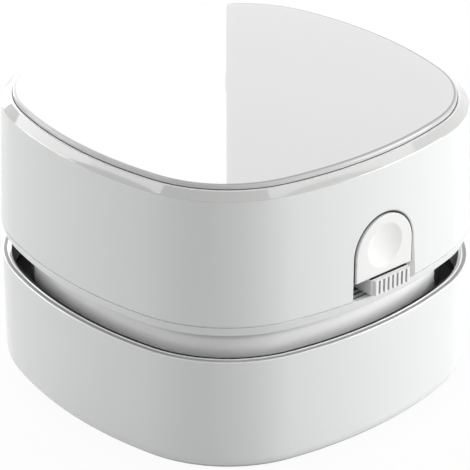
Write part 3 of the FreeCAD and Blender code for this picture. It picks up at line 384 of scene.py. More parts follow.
bin_rings = [circle(DUCT_INNER, BIN_LOW), circle(BRUSH_INNER, BIN_LOW),
             circle(BRUSH_INNER, BRUSH_SEAT), circle(BRUSH_OUTER, BRUSH_SEAT),
             circle(BRUSH_OUTER, BIN_LOW), outline(BODY_HALF, BIN_LOW),
             outline(BODY_HALF, BIN_RIM), outline(BEAD_HALF, BIN_RIM),
             outline(BEAD_HALF - BEAD_RISE, BIN_RIM + BEAD_RISE),
             outline(BEAD_INNER, BIN_RIM + BEAD_RISE),
             rim_shadow_edge(BIN_RIM + BEAD_RISE - STRIP_SINK),
             outline(BIN_INNER_HALF, BIN_RIM + BEAD_RISE - STRIP_SINK),
             outline(BIN_INNER_HALF, BIN_FLOOR),
             circle(DUCT_OUTER, BIN_FLOOR), circle(DUCT_OUTER, DUCT_SEAT),
             circle(DUCT_INNER, DUCT_SEAT)]
dust_bin = pull_rings("bin_cup", bin_rings, loop=True)
# Its foot, its rim, the corner of its floor, and the top of the bead are rounded.
round_level(dust_bin, 5, BIN_FOOT_ROUND, 8)
round_level(dust_bin, 6, BIN_RIM_ROUND, 4)
round_level(dust_bin, 12, BIN_FLOOR_ROUND, 5)
round_level(dust_bin, 8, BEAD_ROUND, 2)
finish(dust_bin, abs_gloss, "white_shell", "bin", "dust_bin")
# The flat rim and the underside are greyed as painted shade.
trim(dust_bin, greyed_painted_shade, lambda p, n: n.z > 0.99 and abs(p.z - BIN_RIM) < NEAR)
trim(dust_bin, greyed_painted_shade, lambda p, n: n.z < -0.6 and p.z < BIN_LOW + BIN_FOOT_ROUND / 2)


def coat(material, roughness):
    """Lays a clear hard gloss over a plastic."""
    shader = material.node_tree.nodes["Principled BSDF"]
    shader.inputs["Coat Weight"].default_value = 1.0
    shader.inputs["Coat IOR"].default_value = 1.8
    shader.inputs["Coat Roughness"].default_value = roughness


# The rim's edges are whiter as a painted highlight, under a clear hard gloss.
rim_painted_highlight = plastic("white_rim_painted_highlight", "#f6f6f6", 0.12, 1.53, 2.4, 0.002, 0.003)
coat(rim_painted_highlight, 0.1)
trim(dust_bin, rim_painted_highlight, lambda p, n: n.z > 0.2 and p.z > BIN_RIM - 0.25
     and not (n.z > 0.99 and abs(p.z - BIN_RIM) < NEAR))
# Black moulded EPDM rubber: dull, with a fine bloom. Along two sides of the rim's inner edge it is
# laid as painted shadow of the gap, and narrows to nothing before the corners.
black_rubber = surface("black_epdm_rubber", "#232324", "#161617", 0.75, 0.0,
                       "ShaderNodeTexNoise", (0.4, 0.4, 0.4), 0.015)
trim(dust_bin, black_rubber, lambda p, n: n.z > 0.99 and p.x + p.y < STRIP_END
     and abs(p.z - BIN_RIM - BEAD_RISE + STRIP_SINK) < NEAR)


# ------------------------------------------------ seat ring and intake duct
# Ring of black rubber pressed into the cup, on which the head stands. The tube
# round the intake is a plain ABS moulding that keeps the dust in.
def dress(material, *names):
    """Gives a material to nodes that stay as they are packed."""
    for node_name in names:
        nodes[node_name].material_slots[0].material = material


# White ABS from a plain mould: a dull sheen, and softened edges.
abs_plain = plastic("white_abs_plain", "#e6e6e4", 0.45, 1.53, 0.8, 0.01, 0.012, 0.12)
dress(abs_plain, "intake_duct")


# ------------------------------------------------------------ intake brush
# Ring of 28 tufts in a moulded carrier under the intake. Each tuft is a bundle
# of tapered nylon filaments, stapled in its hole, that spreads a little.
TUFT_COUNT = 28
TUFT_CIRCLE = 14.2
TUFT_TIP = 0.15
TUFT_ROOT = 1.7
FILAMENT = ((0.05, TUFT_TIP), (0.08, TUFT_TIP + 0.15), (0.1, TUFT_ROOT))
FILAMENT_SPREAD = 1.25
FILAMENT_RINGS = ((0.0, 1), (0.27, 6), (0.56, 12))


def turned(profile, x=0.0, y=0.0, sides=32):
    """Rings of a round shape that stands at (x, y), from its (radius, z) profile."""
    rings = []
    for radius, z in profile:
        rings.append([Vector((x + radius * math.cos(2 * math.pi * i / sides),
                              y + radius * math.sin(2 * math.pi * i / sides), z)) * MM
                      for i in range(sides)])
    return rings


def copy_of(piece, move):
    """Copies a shape with a mesh of its own, moved by a matrix."""
    copied = piece.copy()
    copied.data = piece.data.copy()
    copied.data.transform(move)
    bpy.context.collection.objects.link(copied)
    return copied


def join(piece, *others):
    """Joins other shapes to a piece."""
    choose(piece)
    for other in others:
        other.select_set(True)
    bpy.ops.object.join()
    return piece


def repeated(piece, name, moves):
    """Copies a shape to several places and joins the copies to one piece."""
    choose(piece)
    copies = [copy_of(piece, move) for move in moves]
    bpy.data.objects.remove(piece)
    whole = join(*copies)
    whole.name = whole.data.name = name
    return whole


# Black extruded nylon filament: a dark satin, drawn lines along its length.
nylon_filament = surface("black_nylon_filament", "#303134", "#1c1d1f", 0.4, 0.0,
                         "ShaderNodeTexNoise", (0.1, 0.1, 1.2), 0.004)
filament = pull_rings("filament", turned(FILAMENT, sides=6))
choose(filament)
bundle = []
for ring, count in FILAMENT_RINGS:
    for i in range(count):
        angle = 2 * math.pi * i / count + ring
        strand = copy_of(filament, Matrix.Translation((ring * math.cos(angle) * MM,
                                                       ring * math.sin(angle) * MM, 0)))
        for vertex in strand.data.vertices:
            if vertex.co.z < (TUFT_ROOT - 0.2) * MM:
                vertex.co.x *= FILAMENT_SPREAD
                vertex.co.y *= FILAMENT_SPREAD
        bundle.append(strand)
tuft = join(*bundle)
bpy.data.objects.remove(filament)
brush_tufts = repeated(tuft, "bristle_tufts", [
    Matrix.Rotation(2 * math.pi * i / TUFT_COUNT, 4, "Z")
    @ Matrix.Translation((TUFT_CIRCLE * MM, 0, 0)) for i in range(TUFT_COUNT)])
finish(brush_tufts, nylon_filament, "bristle", "bin", "brush_tufts")
dress(abs_plain, "brush_ring")


# -------------------------------------------------------------------- feet
# Four round pads of grey silicone rubber, pushed into pockets of the cup. They
# are slightly domed below, so that they don't stick to the desk.
FOOT_RADIUS = 4.0
FOOT_OFFSET = 26.0
FOOT_TOP = 2.0
FOOT_DOME = ((2.2, 0.0), (3.2, 0.04), (3.7, 0.18), (3.92, 0.4))
# Silicone rubber: nearly matt, with a fine grain from its mould.
silicone = surface("grey_silicone_rubber", "#646467", "#525255", 0.7, 0.0,
                   "ShaderNodeTexNoise", (0.3, 0.3, 0.3), 0.02)
foot = pull_rings("foot", turned(FOOT_DOME + ((FOOT_RADIUS, 0.75), (FOOT_RADIUS, FOOT_TOP)),
                                 sides=48))
rubber_feet = repeated(foot, "rubber_pads", [
    Matrix.Translation((sx * FOOT_OFFSET * MM, sy * FOOT_OFFSET * MM, 0))
    for sx in (-1, 1) for sy in (-1, 1)])
finish(rubber_feet, silicone, "grey_seal", "bin", "rubber_feet")


# -------------------------------------------------------------- head frame
# One glossy ABS moulding: band under the seam, coved neck with three exhaust
# windows, motor deck, posts, motor cradle and button guide.
CONTROL_X = 0.5
ARCH_Z = 41.1
NECK_HALF = 37.0
NECK_INNER = 35.4
NECK_LOW = 20.4
FAN_FLOOR = 22.0
COVE_RADIUS = 4.2
BAND_LOW = 30.8
BAND_TOP = 32.7
BAND_FOOT_HALF = 42.0
BAND_ROUND = 0.12
DECK_LOW = 30.0
DECK_TOP = 31.6
MOTOR_TOP = 56.6
WINDOW_LOW = 22.4
WINDOW_TOP = 30.4
WINDOW_FRONT = 23.5
WINDOW_SIDE = 22.0
FRONT_SLANT = ((WINDOW_FRONT, -33.2), (15.6, -42.2))
LEFT_SLANT = ((-33.7, WINDOW_SIDE), (-41.6, 13.0))
SLOT_HALF = 2.3
SLOT_FRONT = -33.5
SLOT_BACK = -29.9
BEARING_HOLE = 3.0
GUIDE_HALF = 9.0
GUIDE_ARCH_HALF = 6.7
GUIDE_FRONT = -35.2
GUIDE_BACK = -33.8
GUIDE_TOP = 46.1
GUIDE_ARCH = 37.1
GUIDE_BORE = 2.1
LIP_HALF = 40.35
LIP_INNER = 39.35
LIP_TOP = 33.9
LIP_GAP_HALF = 10.0
CRADLE_HALF = 5
CRADLE_WALL = 3
CRADLE_WALLS = (-13.1, 10.1)
RIB_START = 13.0
RIB_FOOT = 17.0
RIB_TOP = 52.0
RIB_HALF = 0.6
FAN_POST = (12.98, 26.49)
FAN_POST_RADIUS = 2.6
TRAY_POST = (20.0, 30.65)
TRAY_POST_RADIUS = 3.0
TRAY_POST_TOP = 41.0
SUNK = 0.2


def soften(piece, radius):
    """Bevels the sharp edges of a piece."""
    choose(piece)
    bpy.ops.object.modifier_add(type="BEVEL")
    bevel = piece.modifiers[-1]
    bevel.width = radius * MM
    bevel.segments = 2
    bevel.limit_method = "ANGLE"
    bpy.ops.object.modifier_apply(modifier=bevel.name)
    return piece


def slab(name, corners, axis, start, stop, radius=0.0):
    """Pulls a flat outline along an axis. The corners are in the other two axes' order."""
    rings = []
    for along in (start, stop):
        ring = []
        for corner in corners:
            point = list(corner)
            point.insert("XYZ".index(axis), along)
            ring.append(Vector(point) * MM)
        rings.append(ring)
    piece = pull_rings(name, rings)
    choose(piece)
    if radius:
        soften(piece, radius)
    return piece


def box(name, low, high, radius=0.0):
    """Upright box between two corners, with softened edges."""
    corners = ((low[0], low[1]), (high[0], low[1]), (high[0], high[1]), (low[0], high[1]))
    return slab(name, corners, "Z", low[2], high[2], radius)


def cut(piece, *cutters):
    """Cuts shapes out of a piece and removes them."""
    for cutter in cutters:
        choose(piece)
        bpy.ops.object.modifier_add(type="BOOLEAN")
        boolean = piece.modifiers[-1]
        boolean.object = cutter
        boolean.operation = "DIFFERENCE"
        boolean.solver = "EXACT"
        bpy.ops.object.modifier_apply(modifier=boolean.name)
        bpy.data.objects.remove(cutter)
    return piece


def stem_outline(radius):
    """Round outline about the axis of the button's stem, as (x, z) corners."""
    return [(CONTROL_X + radius * math.cos(math.pi * i / 16),
             ARCH_Z + radius * math.sin(math.pi * i / 16)) for i in range(32)]


frame_rings = [outline(NECK_HALF, NECK_LOW)]
for step in range(13):
    angle = math.radians(7.5 * step)
    frame_rings.append(outline(NECK_HALF + COVE_RADIUS * (1 - math.cos(angle)),
                               BAND_LOW - COVE_RADIUS * (1 - math.sin(angle))))
frame_rings += [outline(BAND_FOOT_HALF, BAND_LOW), outline(BODY_HALF, BAND_TOP),
                outline(NECK_INNER, BAND_TOP), outline(NECK_INNER, NECK_LOW)]
head_frame = pull_rings("head_frame", frame_rings, loop=True)
# The band is rounded at its foot and at its top.
round_level(head_frame, 14, BAND_ROUND, 3)
round_level(head_frame, 15, BAND_ROUND, 3)
# Three corners of the neck are open as windows, and two of those end on a slant.
far = BODY_HALF + 2
cut(head_frame,
    slab("window_cutter", ((WINDOW_FRONT, -WINDOW_SIDE), *FRONT_SLANT,
                           (FRONT_SLANT[1][0], -far), (far, -far), (far, -WINDOW_SIDE)),
         "Z", WINDOW_LOW, WINDOW_TOP),
    box("window_cutter", (WINDOW_SIDE, WINDOW_SIDE, WINDOW_LOW), (far, far, WINDOW_TOP)),
    slab("window_cutter", ((-WINDOW_SIDE, WINDOW_SIDE), *LEFT_SLANT,
                           (-far, LEFT_SLANT[1][1]), (-far, far), (-WINDOW_SIDE, far)),
         "Z", WINDOW_LOW, WINDOW_TOP))

deck = pull_rings("deck", [outline(NECK_HALF - 0.05, DECK_LOW),
                           outline(NECK_HALF - 0.05, DECK_TOP)])
bearing_hole = pull_rings("hole_cutter", turned(((BEARING_HOLE, DECK_LOW - 1),
                                                 (BEARING_HOLE, DECK_TOP + 1))))
cut(deck, bearing_hole,
    box("slot_cutter", (CONTROL_X - SLOT_HALF, SLOT_FRONT, DECK_LOW - 1),
        (CONTROL_X + SLOT_HALF, SLOT_BACK, DECK_TOP + 1)))
# The button's guide is a plate on two legs, with a bore for the stem.
guide_corners = [(CONTROL_X + x, z) for x, z in (
    (-GUIDE_HALF, DECK_TOP - SUNK), (-GUIDE_ARCH_HALF, DECK_TOP - SUNK),
    (-GUIDE_ARCH_HALF, GUIDE_ARCH), (GUIDE_ARCH_HALF, GUIDE_ARCH),
    (GUIDE_ARCH_HALF, DECK_TOP - SUNK), (GUIDE_HALF, DECK_TOP - SUNK),
    (GUIDE_HALF, GUIDE_TOP), (-GUIDE_HALF, GUIDE_TOP))]
guide = slab("button_guide", guide_corners, "Y", GUIDE_FRONT, GUIDE_BACK, 0.15)
cut(guide, slab("bore_cutter", stem_outline(GUIDE_BORE), "Y", GUIDE_FRONT - 0.8, GUIDE_BACK + 0.8))
lip = pull_rings("locating_lip", [outline(LIP_HALF, BAND_TOP - SUNK),
                                  outline(LIP_HALF, LIP_TOP - 0.2),
                                  outline(LIP_HALF - 0.2, LIP_TOP), outline(LIP_INNER, LIP_TOP),
                                  outline(LIP_INNER, BAND_TOP - SUNK)], loop=True)
cut(lip, box("lip_cutter", (CONTROL_X - LIP_GAP_HALF, -far, BAND_TOP - 1),
             (CONTROL_X + LIP_GAP_HALF, 0, BAND_TOP + 2)))
walls = [box("cradle_wall", (-CRADLE_HALF, y, DECK_TOP - SUNK),
             (CRADLE_HALF, y + CRADLE_WALL, MOTOR_TOP), 0.3) for y in CRADLE_WALLS]
ribs = [slab("cradle_rib", ((side * RIB_START, DECK_TOP - SUNK),
                            (side * RIB_FOOT, DECK_TOP - SUNK), (side * RIB_START, RIB_TOP)),
             "X", -RIB_HALF, RIB_HALF, 0.1) for side in (-1, 1)]
fan_post = ((FAN_POST_RADIUS, FAN_FLOOR), (FAN_POST_RADIUS, DECK_LOW + SUNK))
tray_post = ((TRAY_POST_RADIUS + 0.3, DECK_TOP - SUNK), (TRAY_POST_RADIUS, DECK_TOP + 0.4),
             (TRAY_POST_RADIUS, TRAY_POST_TOP))
posts = [pull_rings("post", turned(profile, sx * x, sy * y))
         for profile, (x, y) in ((fan_post, FAN_POST), (tray_post, TRAY_POST))
         for sx in (-1, 1) for sy in (-1, 1)]
join(head_frame, deck, guide, lip, *walls, *ribs, *posts)
finish(head_frame, abs_gloss, "white_shell", "head", "chassis")
# The neck is the same ABS, whiter as painted light, and greyed at its foot and under the band as
# painted shade.
NECK_SHADE_LEVELS = ((20.6, "#808080"), (22.6, "#fdfdfd"), (27.2, "#fdfdfd"), (28.6, "#c6c6c5"))
painted_light_and_shade = plastic("white_painted_light_and_shade_neck", "#fcfcfc", 0.3, 1.53, 2.4, 0.006, 0.004)
tree = painted_light_and_shade.node_tree
axes = add_node(tree, "ShaderNodeSeparateXYZ", {},
                {0: add_node(tree, "ShaderNodeTexCoord").outputs["Object"]})
height = add_node(tree, "ShaderNodeMapRange", {},
                  {"Value": axes.outputs["Z"], "From Min": NECK_SHADE_LEVELS[0][0] * MM,
                   "From Max": NECK_SHADE_LEVELS[-1][0] * MM})
neck_shade_ramp = add_node(tree, "ShaderNodeValToRGB", {}, {"Fac": height.outputs["Result"]})
neck_shade_ramp.color_ramp.elements[0].color = linear(NECK_SHADE_LEVELS[0][1])
neck_shade_ramp.color_ramp.elements[1].color = linear(NECK_SHADE_LEVELS[-1][1])
for level, colour in NECK_SHADE_LEVELS[1:-1]:
    share = (level - NECK_SHADE_LEVELS[0][0]) / (NECK_SHADE_LEVELS[-1][0] - NECK_SHADE_LEVELS[0][0])
    neck_shade_ramp.color_ramp.elements.new(share).color = linear(colour)
tree.links.new(neck_shade_ramp.outputs["Color"], tree.nodes["Hue/Saturation/Value"].inputs["Color"])


def on_cove(middle, normal):
    """True for the outer faces of the neck and the cove, and not for the windows' sides."""
    if middle.z > BAND_LOW + 0.02 or normal.z > 0.5:
        return False
    if normal.z < -0.72:
        return middle.z > WINDOW_LOW + 1 and middle.xy.length > NECK_HALF + 0.5
    return normal.xy.normalized().dot(middle.xy.normalized()) > 0.8


# The painted light and shade goes on the outer faces of the neck and the cove.
trim(head_frame, painted_light_and_shade, on_cove)
# The band's lower arris is greyed as painted shade, a dark line under the band.
trim(head_frame, greyed_painted_shade, lambda p, n: n.z < -0.2 and p.xy.length > NECK_HALF + 4
     and BAND_LOW - 0.02 < p.z < BAND_LOW + 0.16)


# ---------------------------------------------------- fan floor and filter
# Plain ABS floor with a guarded inlet, screwed to the frame's posts. The filter
# under it is a disc of non-woven cloth in a round frame.

# Polypropylene felt of fine fibres: dull, with a loose nap.
filter_felt = surface("white_filter_felt", "#e6e4de", "#c9c6bd", 0.9, 0.0,
                      "ShaderNodeTexNoise", (0.5, 0.12, 0.5), 0.12, 0.0, {}, {"Detail": 6.0})
# Zinc-plated steel: a bright, slightly cloudy metal.
zinc_steel = surface("zinc_plated_steel", "#cfd1d2", "#b4b7b9", 0.32, 1.0,
                     "ShaderNodeTexNoise", (1.2, 1.2, 1.2), 0.004, 0.08)
dress(abs_plain, "fan_base", "filter_frame")
dress(filter_felt, "filter_mesh")
dress(zinc_steel, "fan_base_screws")


# ------------------------------------------------------------ seal and foam
# The gasket under the neck and the ring that it stands on are black rubber.
# Plugs of black open-cell foam fill the exhaust windows and damp the sound.

# Open-cell polyurethane: pores of about 0.6 mm that swallow the light.
open_foam = surface("black_open_cell_foam", "#7c7c7d", "#020202", 0.95, 0.0,
                    "ShaderNodeTexVoronoi", (0.6, 0.6, 0.6), 0.3)
dress(black_rubber, "seat_ring", "head_seal")
dress(open_foam, "exhaust_foam")
# A flap of the same foam is glued down over the sill under each window.
trim(head_frame, open_foam, lambda p, n: p.z < WINDOW_LOW + 0.02
     and ((abs(p.x) > WINDOW_SIDE and p.y > WINDOW_SIDE)
          or (p.x > WINDOW_FRONT and p.y < -WINDOW_SIDE))
     and (n.z > 0.9 or n.xy.dot(p.xy.normalized()) > 0.7))


# ------------------------------------------------------------ motor and fan
# Small direct-current motor: drawn steel can, nylon end cap and sintered
# bushes. Its shaft carries the moulded fan below the deck.

# Nickel-plated steel sheet: brighter and smoother, drawn along its height.
nickel_steel = surface("nickel_plated_steel", "#d2d0ca", "#c2c0ba", 0.25, 1.0,
                       "ShaderNodeTexNoise", (0.4, 0.4, 6.0), 0.003, 0.1)
# Sintered bronze: a dull brown metal with pores.
sintered_bronze = surface("sintered_bronze", "#b08c56", "#8a6c3f", 0.5, 1.0,
                          "ShaderNodeTexNoise", (0.25, 0.25, 0.25), 0.02)
# Pressed ferrite: dark grey and matt, with a ceramic grain.
ferrite = surface("pressed_ferrite", "#343436", "#252527", 0.75, 0.0,
                  "ShaderNodeTexNoise", (0.3, 0.3, 0.3), 0.02)
# Bare copper strip, a little tarnished.
bare_copper = surface("bare_copper", "#cc8059", "#b46c48", 0.35, 1.0,
                      "ShaderNodeTexNoise", (1.0, 1.0, 1.0), 0.005, 0.05)
# Glass-filled nylon: black, with short pale fibres that dull it.
black_nylon = surface("black_glass_nylon", "#1e1f21", "#131416", 0.5, 0.0,
                      "ShaderNodeTexNoise", (0.2, 0.2, 0.6), 0.012, 0.1)
# Stack of 0.5 mm sheets of steel, whose edges show as fine lines. A wave of this
# scale has one line to each unit of its mapping, which is one sheet.
SHEET_SCALE = 0.3142
sheet_stack = surface("laminated_steel", "#a9abae", "#6f7175", 0.4, 1.0,
                      "ShaderNodeTexWave", (0.5, 0.5, 0.5), 0.03, 0.0,
                      {"bands_direction": "Z"}, {"Scale": SHEET_SCALE})
dress(nickel_steel, "motor_can", "motor_clip", "motor_shaft")
dress(black_nylon, "motor_end_cap")
dress(sintered_bronze, "motor_bearings")
dress(ferrite, "motor_magnets")
dress(bare_copper, "motor_brushes", "motor_terminals", "commutator")
dress(sheet_stack, "armature")
dress(zinc_steel, "clip_screws")
dress(abs_plain, "impeller")


# ---------------------------------------------------------------- batteries
# Two AA cells side by side in a twin trough of plain ABS, with a nickel-plated
# spring and plate at their ends. The cells have a plain printed film.
CELL_HALF = 25
CELL_BAND_START = 0.72
CELL_BAND_END = 0.78


def cell_film(name, nub_side):
    """Printed film with a pale band towards the nub, and bare steel ends."""
    material, tree, shader = new_material(name)
    place = add_node(tree, "ShaderNodeTexCoord").outputs["Object"]
    axes = add_node(tree, "ShaderNodeSeparateXYZ", {}, {0: place})
    along = add_node(tree, "ShaderNodeMapRange", {},
                     {"Value": axes.outputs["Y"], "From Min": -nub_side * CELL_HALF * MM,
                      "From Max": nub_side * CELL_HALF * MM})
    bands = add_node(tree, "ShaderNodeValToRGB", {}, {"Fac": along.outputs["Result"]})
    bands.color_ramp.interpolation = "CONSTANT"
    bands.color_ramp.elements[0].color = linear("#3d4752")
    bands.color_ramp.elements[1].position = CELL_BAND_START
    bands.color_ramp.elements[1].color = linear("#b9bdc2")
    bands.color_ramp.elements.new(CELL_BAND_END).color = linear("#6d7a88")
    facing = add_node(tree, "ShaderNodeSeparateXYZ", {},
                      {0: add_node(tree, "ShaderNodeNewGeometry").outputs["Normal"]})
    level = add_node(tree, "ShaderNodeMath", {"operation": "ABSOLUTE"}, {0: facing.outputs["Y"]})
    bare = add_node(tree, "ShaderNodeMath", {"operation": "GREATER_THAN"},
                    {0: level.outputs[0], 1: 0.7})
    colour = add_node(tree, "ShaderNodeMix", {"data_type": "RGBA"}, {0: bare.outputs[0]})
    tree.links.new(bands.outputs["Color"], colour.inputs[6])
    colour.inputs[7].default_value = linear("#cbc9c4")
    tree.links.new(colour.outputs[2], shader.inputs["Base Color"])
    tree.links.new(bare.outputs[0], shader.inputs["Metallic"])
    shader.inputs["Roughness"].default_value = 0.3
    crease = add_node(tree, "ShaderNodeTexNoise", {}, {"Vector": place, "Scale": 1 / (5 * MM)})
    raise_relief(tree, shader, crease.outputs["Fac"], 0.02)
    return material


# Shrunk plastic film over the steel can: smooth, with faint creases.
dress(cell_film("cell_film_nub_back", 1), "aa_cell_left")
dress(cell_film("cell_film_nub_front", -1), "aa_cell_right")
dress(abs_plain, "battery_tray")
dress(zinc_steel, "tray_screws")
dress(nickel_steel, "contact_springs", "contact_plates")


# --------------------------------------------------------- switch and wires
# Slide switch in black nylon behind the knob, with copper pins. Its leads are
# stranded wire in soft PVC, soldered to the tabs and to the motor.

# Extruded PVC: an even, half-gloss skin.
red_wire = surface("red_pvc_wire", "#bb2a25", "#a81f1b", 0.4, 0.0,
                   "ShaderNodeTexNoise", (1.5, 1.5, 1.5), 0.01)
black_wire = surface("black_pvc_wire", "#1b1b1c", "#111112", 0.4, 0.0,
                     "ShaderNodeTexNoise", (1.5, 1.5, 1.5), 0.01)
dress(black_nylon, "switch_body", "switch_lever")
dress(bare_copper, "switch_terminals")
dress(red_wire, "wire_battery_switch", "wire_switch_motor")
dress(black_wire, "wire_motor_battery")


# --------------------------------------------------------------- knob rail
# Insert of dark nylon on which the knob runs, snapped into the head frame under
# the opening. It has one raised track between two low sides.
RAIL_LEFT = -6.85
RAIL_RIGHT = 7.85
RAIL_FRONT = -41.35
RAIL_BACK = -37.6
CHANNEL_FRONT = -41.0
CHANNEL_BACK = -38.9
TRACK_FRONT = -40.2
TRACK_BACK = -39.7
RAIL_BASE = 32.4
RAIL_FLOOR = 32.52
RAIL_SIDE = 32.78
RAIL_TRACK = 32.8
# Blue-grey nylon, polished by the knob along the track.
rail_nylon = surface("blue_grey_nylon", "#59606c", "#474d58", 0.35, 0.0,
                     "ShaderNodeTexNoise", (2.5, 0.3, 0.3), 0.01)
rail_corners = ((RAIL_FRONT, RAIL_BASE), (RAIL_FRONT, RAIL_SIDE), (CHANNEL_FRONT, RAIL_SIDE),
                (CHANNEL_FRONT, RAIL_FLOOR), (TRACK_FRONT, RAIL_FLOOR), (TRACK_FRONT, RAIL_TRACK),
                (TRACK_BACK, RAIL_TRACK), (TRACK_BACK, RAIL_FLOOR), (CHANNEL_BACK, RAIL_FLOOR),
                (CHANNEL_BACK, RAIL_SIDE), (RAIL_BACK, RAIL_SIDE), (RAIL_BACK, RAIL_BASE))
knob_rail = slab("knob_rail", rail_corners, "X", RAIL_LEFT, RAIL_RIGHT, 0.03)
finish(knob_rail, rail_nylon, "black_nylon", "head")


# ------------------------------------------------------------- upper shell
# Tall ABS housing of the head, held by four screws from below. It narrows
# slightly towards the top, where a polished shoulder leads up to the cover.
SHELL_LOW = 32.7
SHELL_LOW_HALF = 42.2
SHELL_FOOT = 33.0
SHOULDER_LOW = 58.12
SHOULDER_LOW_HALF = 41.48
SHOULDER_TOP = 59.42
SHOULDER_TOP_HALF = 39.82
SHELL_FOOT_ROUND = 0.12
SHOULDER_LOW_ROUND = 0.1
SHOULDER_TOP_ROUND = 0.06
MOUTH_HALF = 39.35
SEAT_Z = 58.6
SEAT_LOW = 57.1
SEAT_INNER = 36.9
WALL_INNER_TOP = 39.48
WALL_INNER_LOW = 40.46
BOSS_PLACE = (29.6, 14.0)
BOSS_RADIUS = 2.6
BOSS_TOP = 40.6
WEB_LOW = 34.1
WEB_REACH = (30.0, 40.3)
WEB_HALF = 0.8
shell_rings = [outline(SHELL_LOW_HALF, SHELL_LOW), outline(BODY_HALF, SHELL_FOOT),
               outline(SHOULDER_LOW_HALF, SHOULDER_LOW), outline(SHOULDER_TOP_HALF, SHOULDER_TOP),
               outline(MOUTH_HALF, SHOULDER_TOP), outline(MOUTH_HALF, SEAT_Z),
               outline(SEAT_INNER, SEAT_Z), outline(SEAT_INNER, SEAT_LOW),
               outline(WALL_INNER_TOP, SEAT_LOW), outline(WALL_INNER_LOW, SHELL_LOW)]
upper_shell = pull_rings("head_housing", shell_rings, loop=True)
# Both edges of the shoulder and the edge at the foot are rounded a little.
round_level(upper_shell, 2, SHOULDER_LOW_ROUND, 2)
round_level(upper_shell, 3, SHOULDER_TOP_ROUND, 2)
round_level(upper_shell, 1, SHELL_FOOT_ROUND, 2)

OPENING_RADIUS = 7.34
OPENING_LOW = 31.0
OPENING_BACK = -37.0
FLARE = 2.4
FLARE_SPREAD = 3.1
FACE_Y = -41.3
SHADE_RING = 0.26
SHADE_RING_LOW = 36.5
SHADE_RING_TOP = 50.0
FLARE_TOP = 52.0
ARCH_STEPS = 48


def arch(radius, low, y):
    """Arch outline of the button in one plane: round above ARCH_Z and straight down to low."""
    points = []
    for step in range(ARCH_STEPS + 1):
        angle = math.pi * step / ARCH_STEPS
        points.append((CONTROL_X + radius * math.cos(angle), ARCH_Z + radius * math.sin(angle)))
    for step in range(1, 9):
        points.append((CONTROL_X - radius, ARCH_Z + (low - ARCH_Z) * step / 8))
    for step in range(1, 16):
        points.append((CONTROL_X - radius + 2 * radius * step / 16, low))
    for step in range(8, 0, -1):
        points.append((CONTROL_X + radius, ARCH_Z + (low - ARCH_Z) * step / 8))
    return [Vector((x, y, z)) * MM for x, z in points]


opening = pull_rings("opening_cutter",
                     [arch(OPENING_RADIUS, OPENING_LOW, OPENING_BACK),
                      arch(OPENING_RADIUS, OPENING_LOW, FACE_Y),
                      arch(OPENING_RADIUS + SHADE_RING, OPENING_LOW - SHADE_RING, FACE_Y - SHADE_RING),
                      arch(OPENING_RADIUS + FLARE_SPREAD, OPENING_LOW - FLARE_SPREAD,
                           FACE_Y - FLARE)])
cut(upper_shell, opening)
for sx in (-1, 1):
    for sy in (-1, 1):
        boss_x, boss_y = sx * BOSS_PLACE[0], sy * BOSS_PLACE[1]
        boss = pull_rings("boss", turned(((BOSS_RADIUS, DECK_TOP), (BOSS_RADIUS, BOSS_TOP - 0.2),
                                          (BOSS_RADIUS - 0.2, BOSS_TOP)), boss_x, boss_y))
        web_x = sorted(sx * x for x in WEB_REACH)
        web = box("boss_web", (web_x[0], boss_y - WEB_HALF, WEB_LOW),
                  (web_x[1], boss_y + WEB_HALF, BOSS_TOP), 0.15)
        join(upper_shell, boss, web)
finish(upper_shell, abs_gloss, "white_shell", "head", "upper_shell")
# The shoulder is cut with a diamond tool: a mirror gloss on the same ABS, greyed as painted shade.
shoulder_painted_shade = plastic("white_abs_diamond_cut_painted_shade", "#c9c9c8", 0.05, 1.53, 6.0, 0.0008, 0.003)
coat(shoulder_painted_shade, 0.03)
trim(upper_shell, shoulder_painted_shade, lambda p, n: p.z > SHOULDER_LOW - 0.12 and n.z < 0.95)
# Its narrow top is pure white as a painted highlight.
lip_painted_highlight = plastic("white_lip_painted_highlight", "#ffffff", 0.06, 1.53, 6.0, 0.0008, 0.003)
trim(upper_shell, lip_painted_highlight, lambda p, n: p.z > SEAT_Z + 0.4 and n.z > 0.95)
# The left side of the opening's flare is pure white as a painted highlight too.
trim(upper_shell, lip_painted_highlight, lambda p, n: p.x < CONTROL_X and n.x > 0.3 and p.y < FACE_Y - SHADE_RING
     and SHELL_LOW < p.z < FLARE_TOP)
# A dark grey ring round the opening's edge is painted shadow of the gap round the button.
grey_painted_shadow = surface("dark_grey_painted_shadow", "#626264", "#525254", 0.6, 0.0,
                      "ShaderNodeTexNoise", (0.3, 0.3, 0.3), 0.01)
trim(upper_shell, grey_painted_shadow, lambda p, n: FACE_Y - SHADE_RING < p.y < FACE_Y
     and -0.85 < n.y < -0.5 and SHADE_RING_LOW < p.z < SHADE_RING_TOP
     and math.hypot(p.x - CONTROL_X, max(p.z - ARCH_Z, 0)) < OPENING_RADIUS + SHADE_RING)
dress(zinc_steel, "shell_screws")


# ------------------------------------------------------- cover and its frame
# Thick polished cover plate with a flat dome, a fine ease and a rounded edge. A black band round
# its foot is painted shadow of the gap, and a frame below clips into the shell.
PLATE_HALF = 39.2
PLATE_PEAK = 61.0
PLATE_CROWN = 0.58
PLATE_EDGE = 0.45
EASE_WIDTH = 0.28
EASE_FALL = 0.05
GAP_SHADOW_TOP = 59.52
crown_radius = (PLATE_HALF ** 2 + PLATE_CROWN ** 2) / (2 * PLATE_CROWN)


def crowned(ring, drop=0.0):
    """Lifts a ring's points on to the plate's dome, less a drop."""
    lifted = []
    for p in ring:
        across = math.hypot(p.x, p.y) / MM
        z = PLATE_PEAK - crown_radius + math.sqrt(crown_radius ** 2 - across ** 2) - drop
        lifted.append(Vector((p.x, p.y, z * MM)))
    return lifted


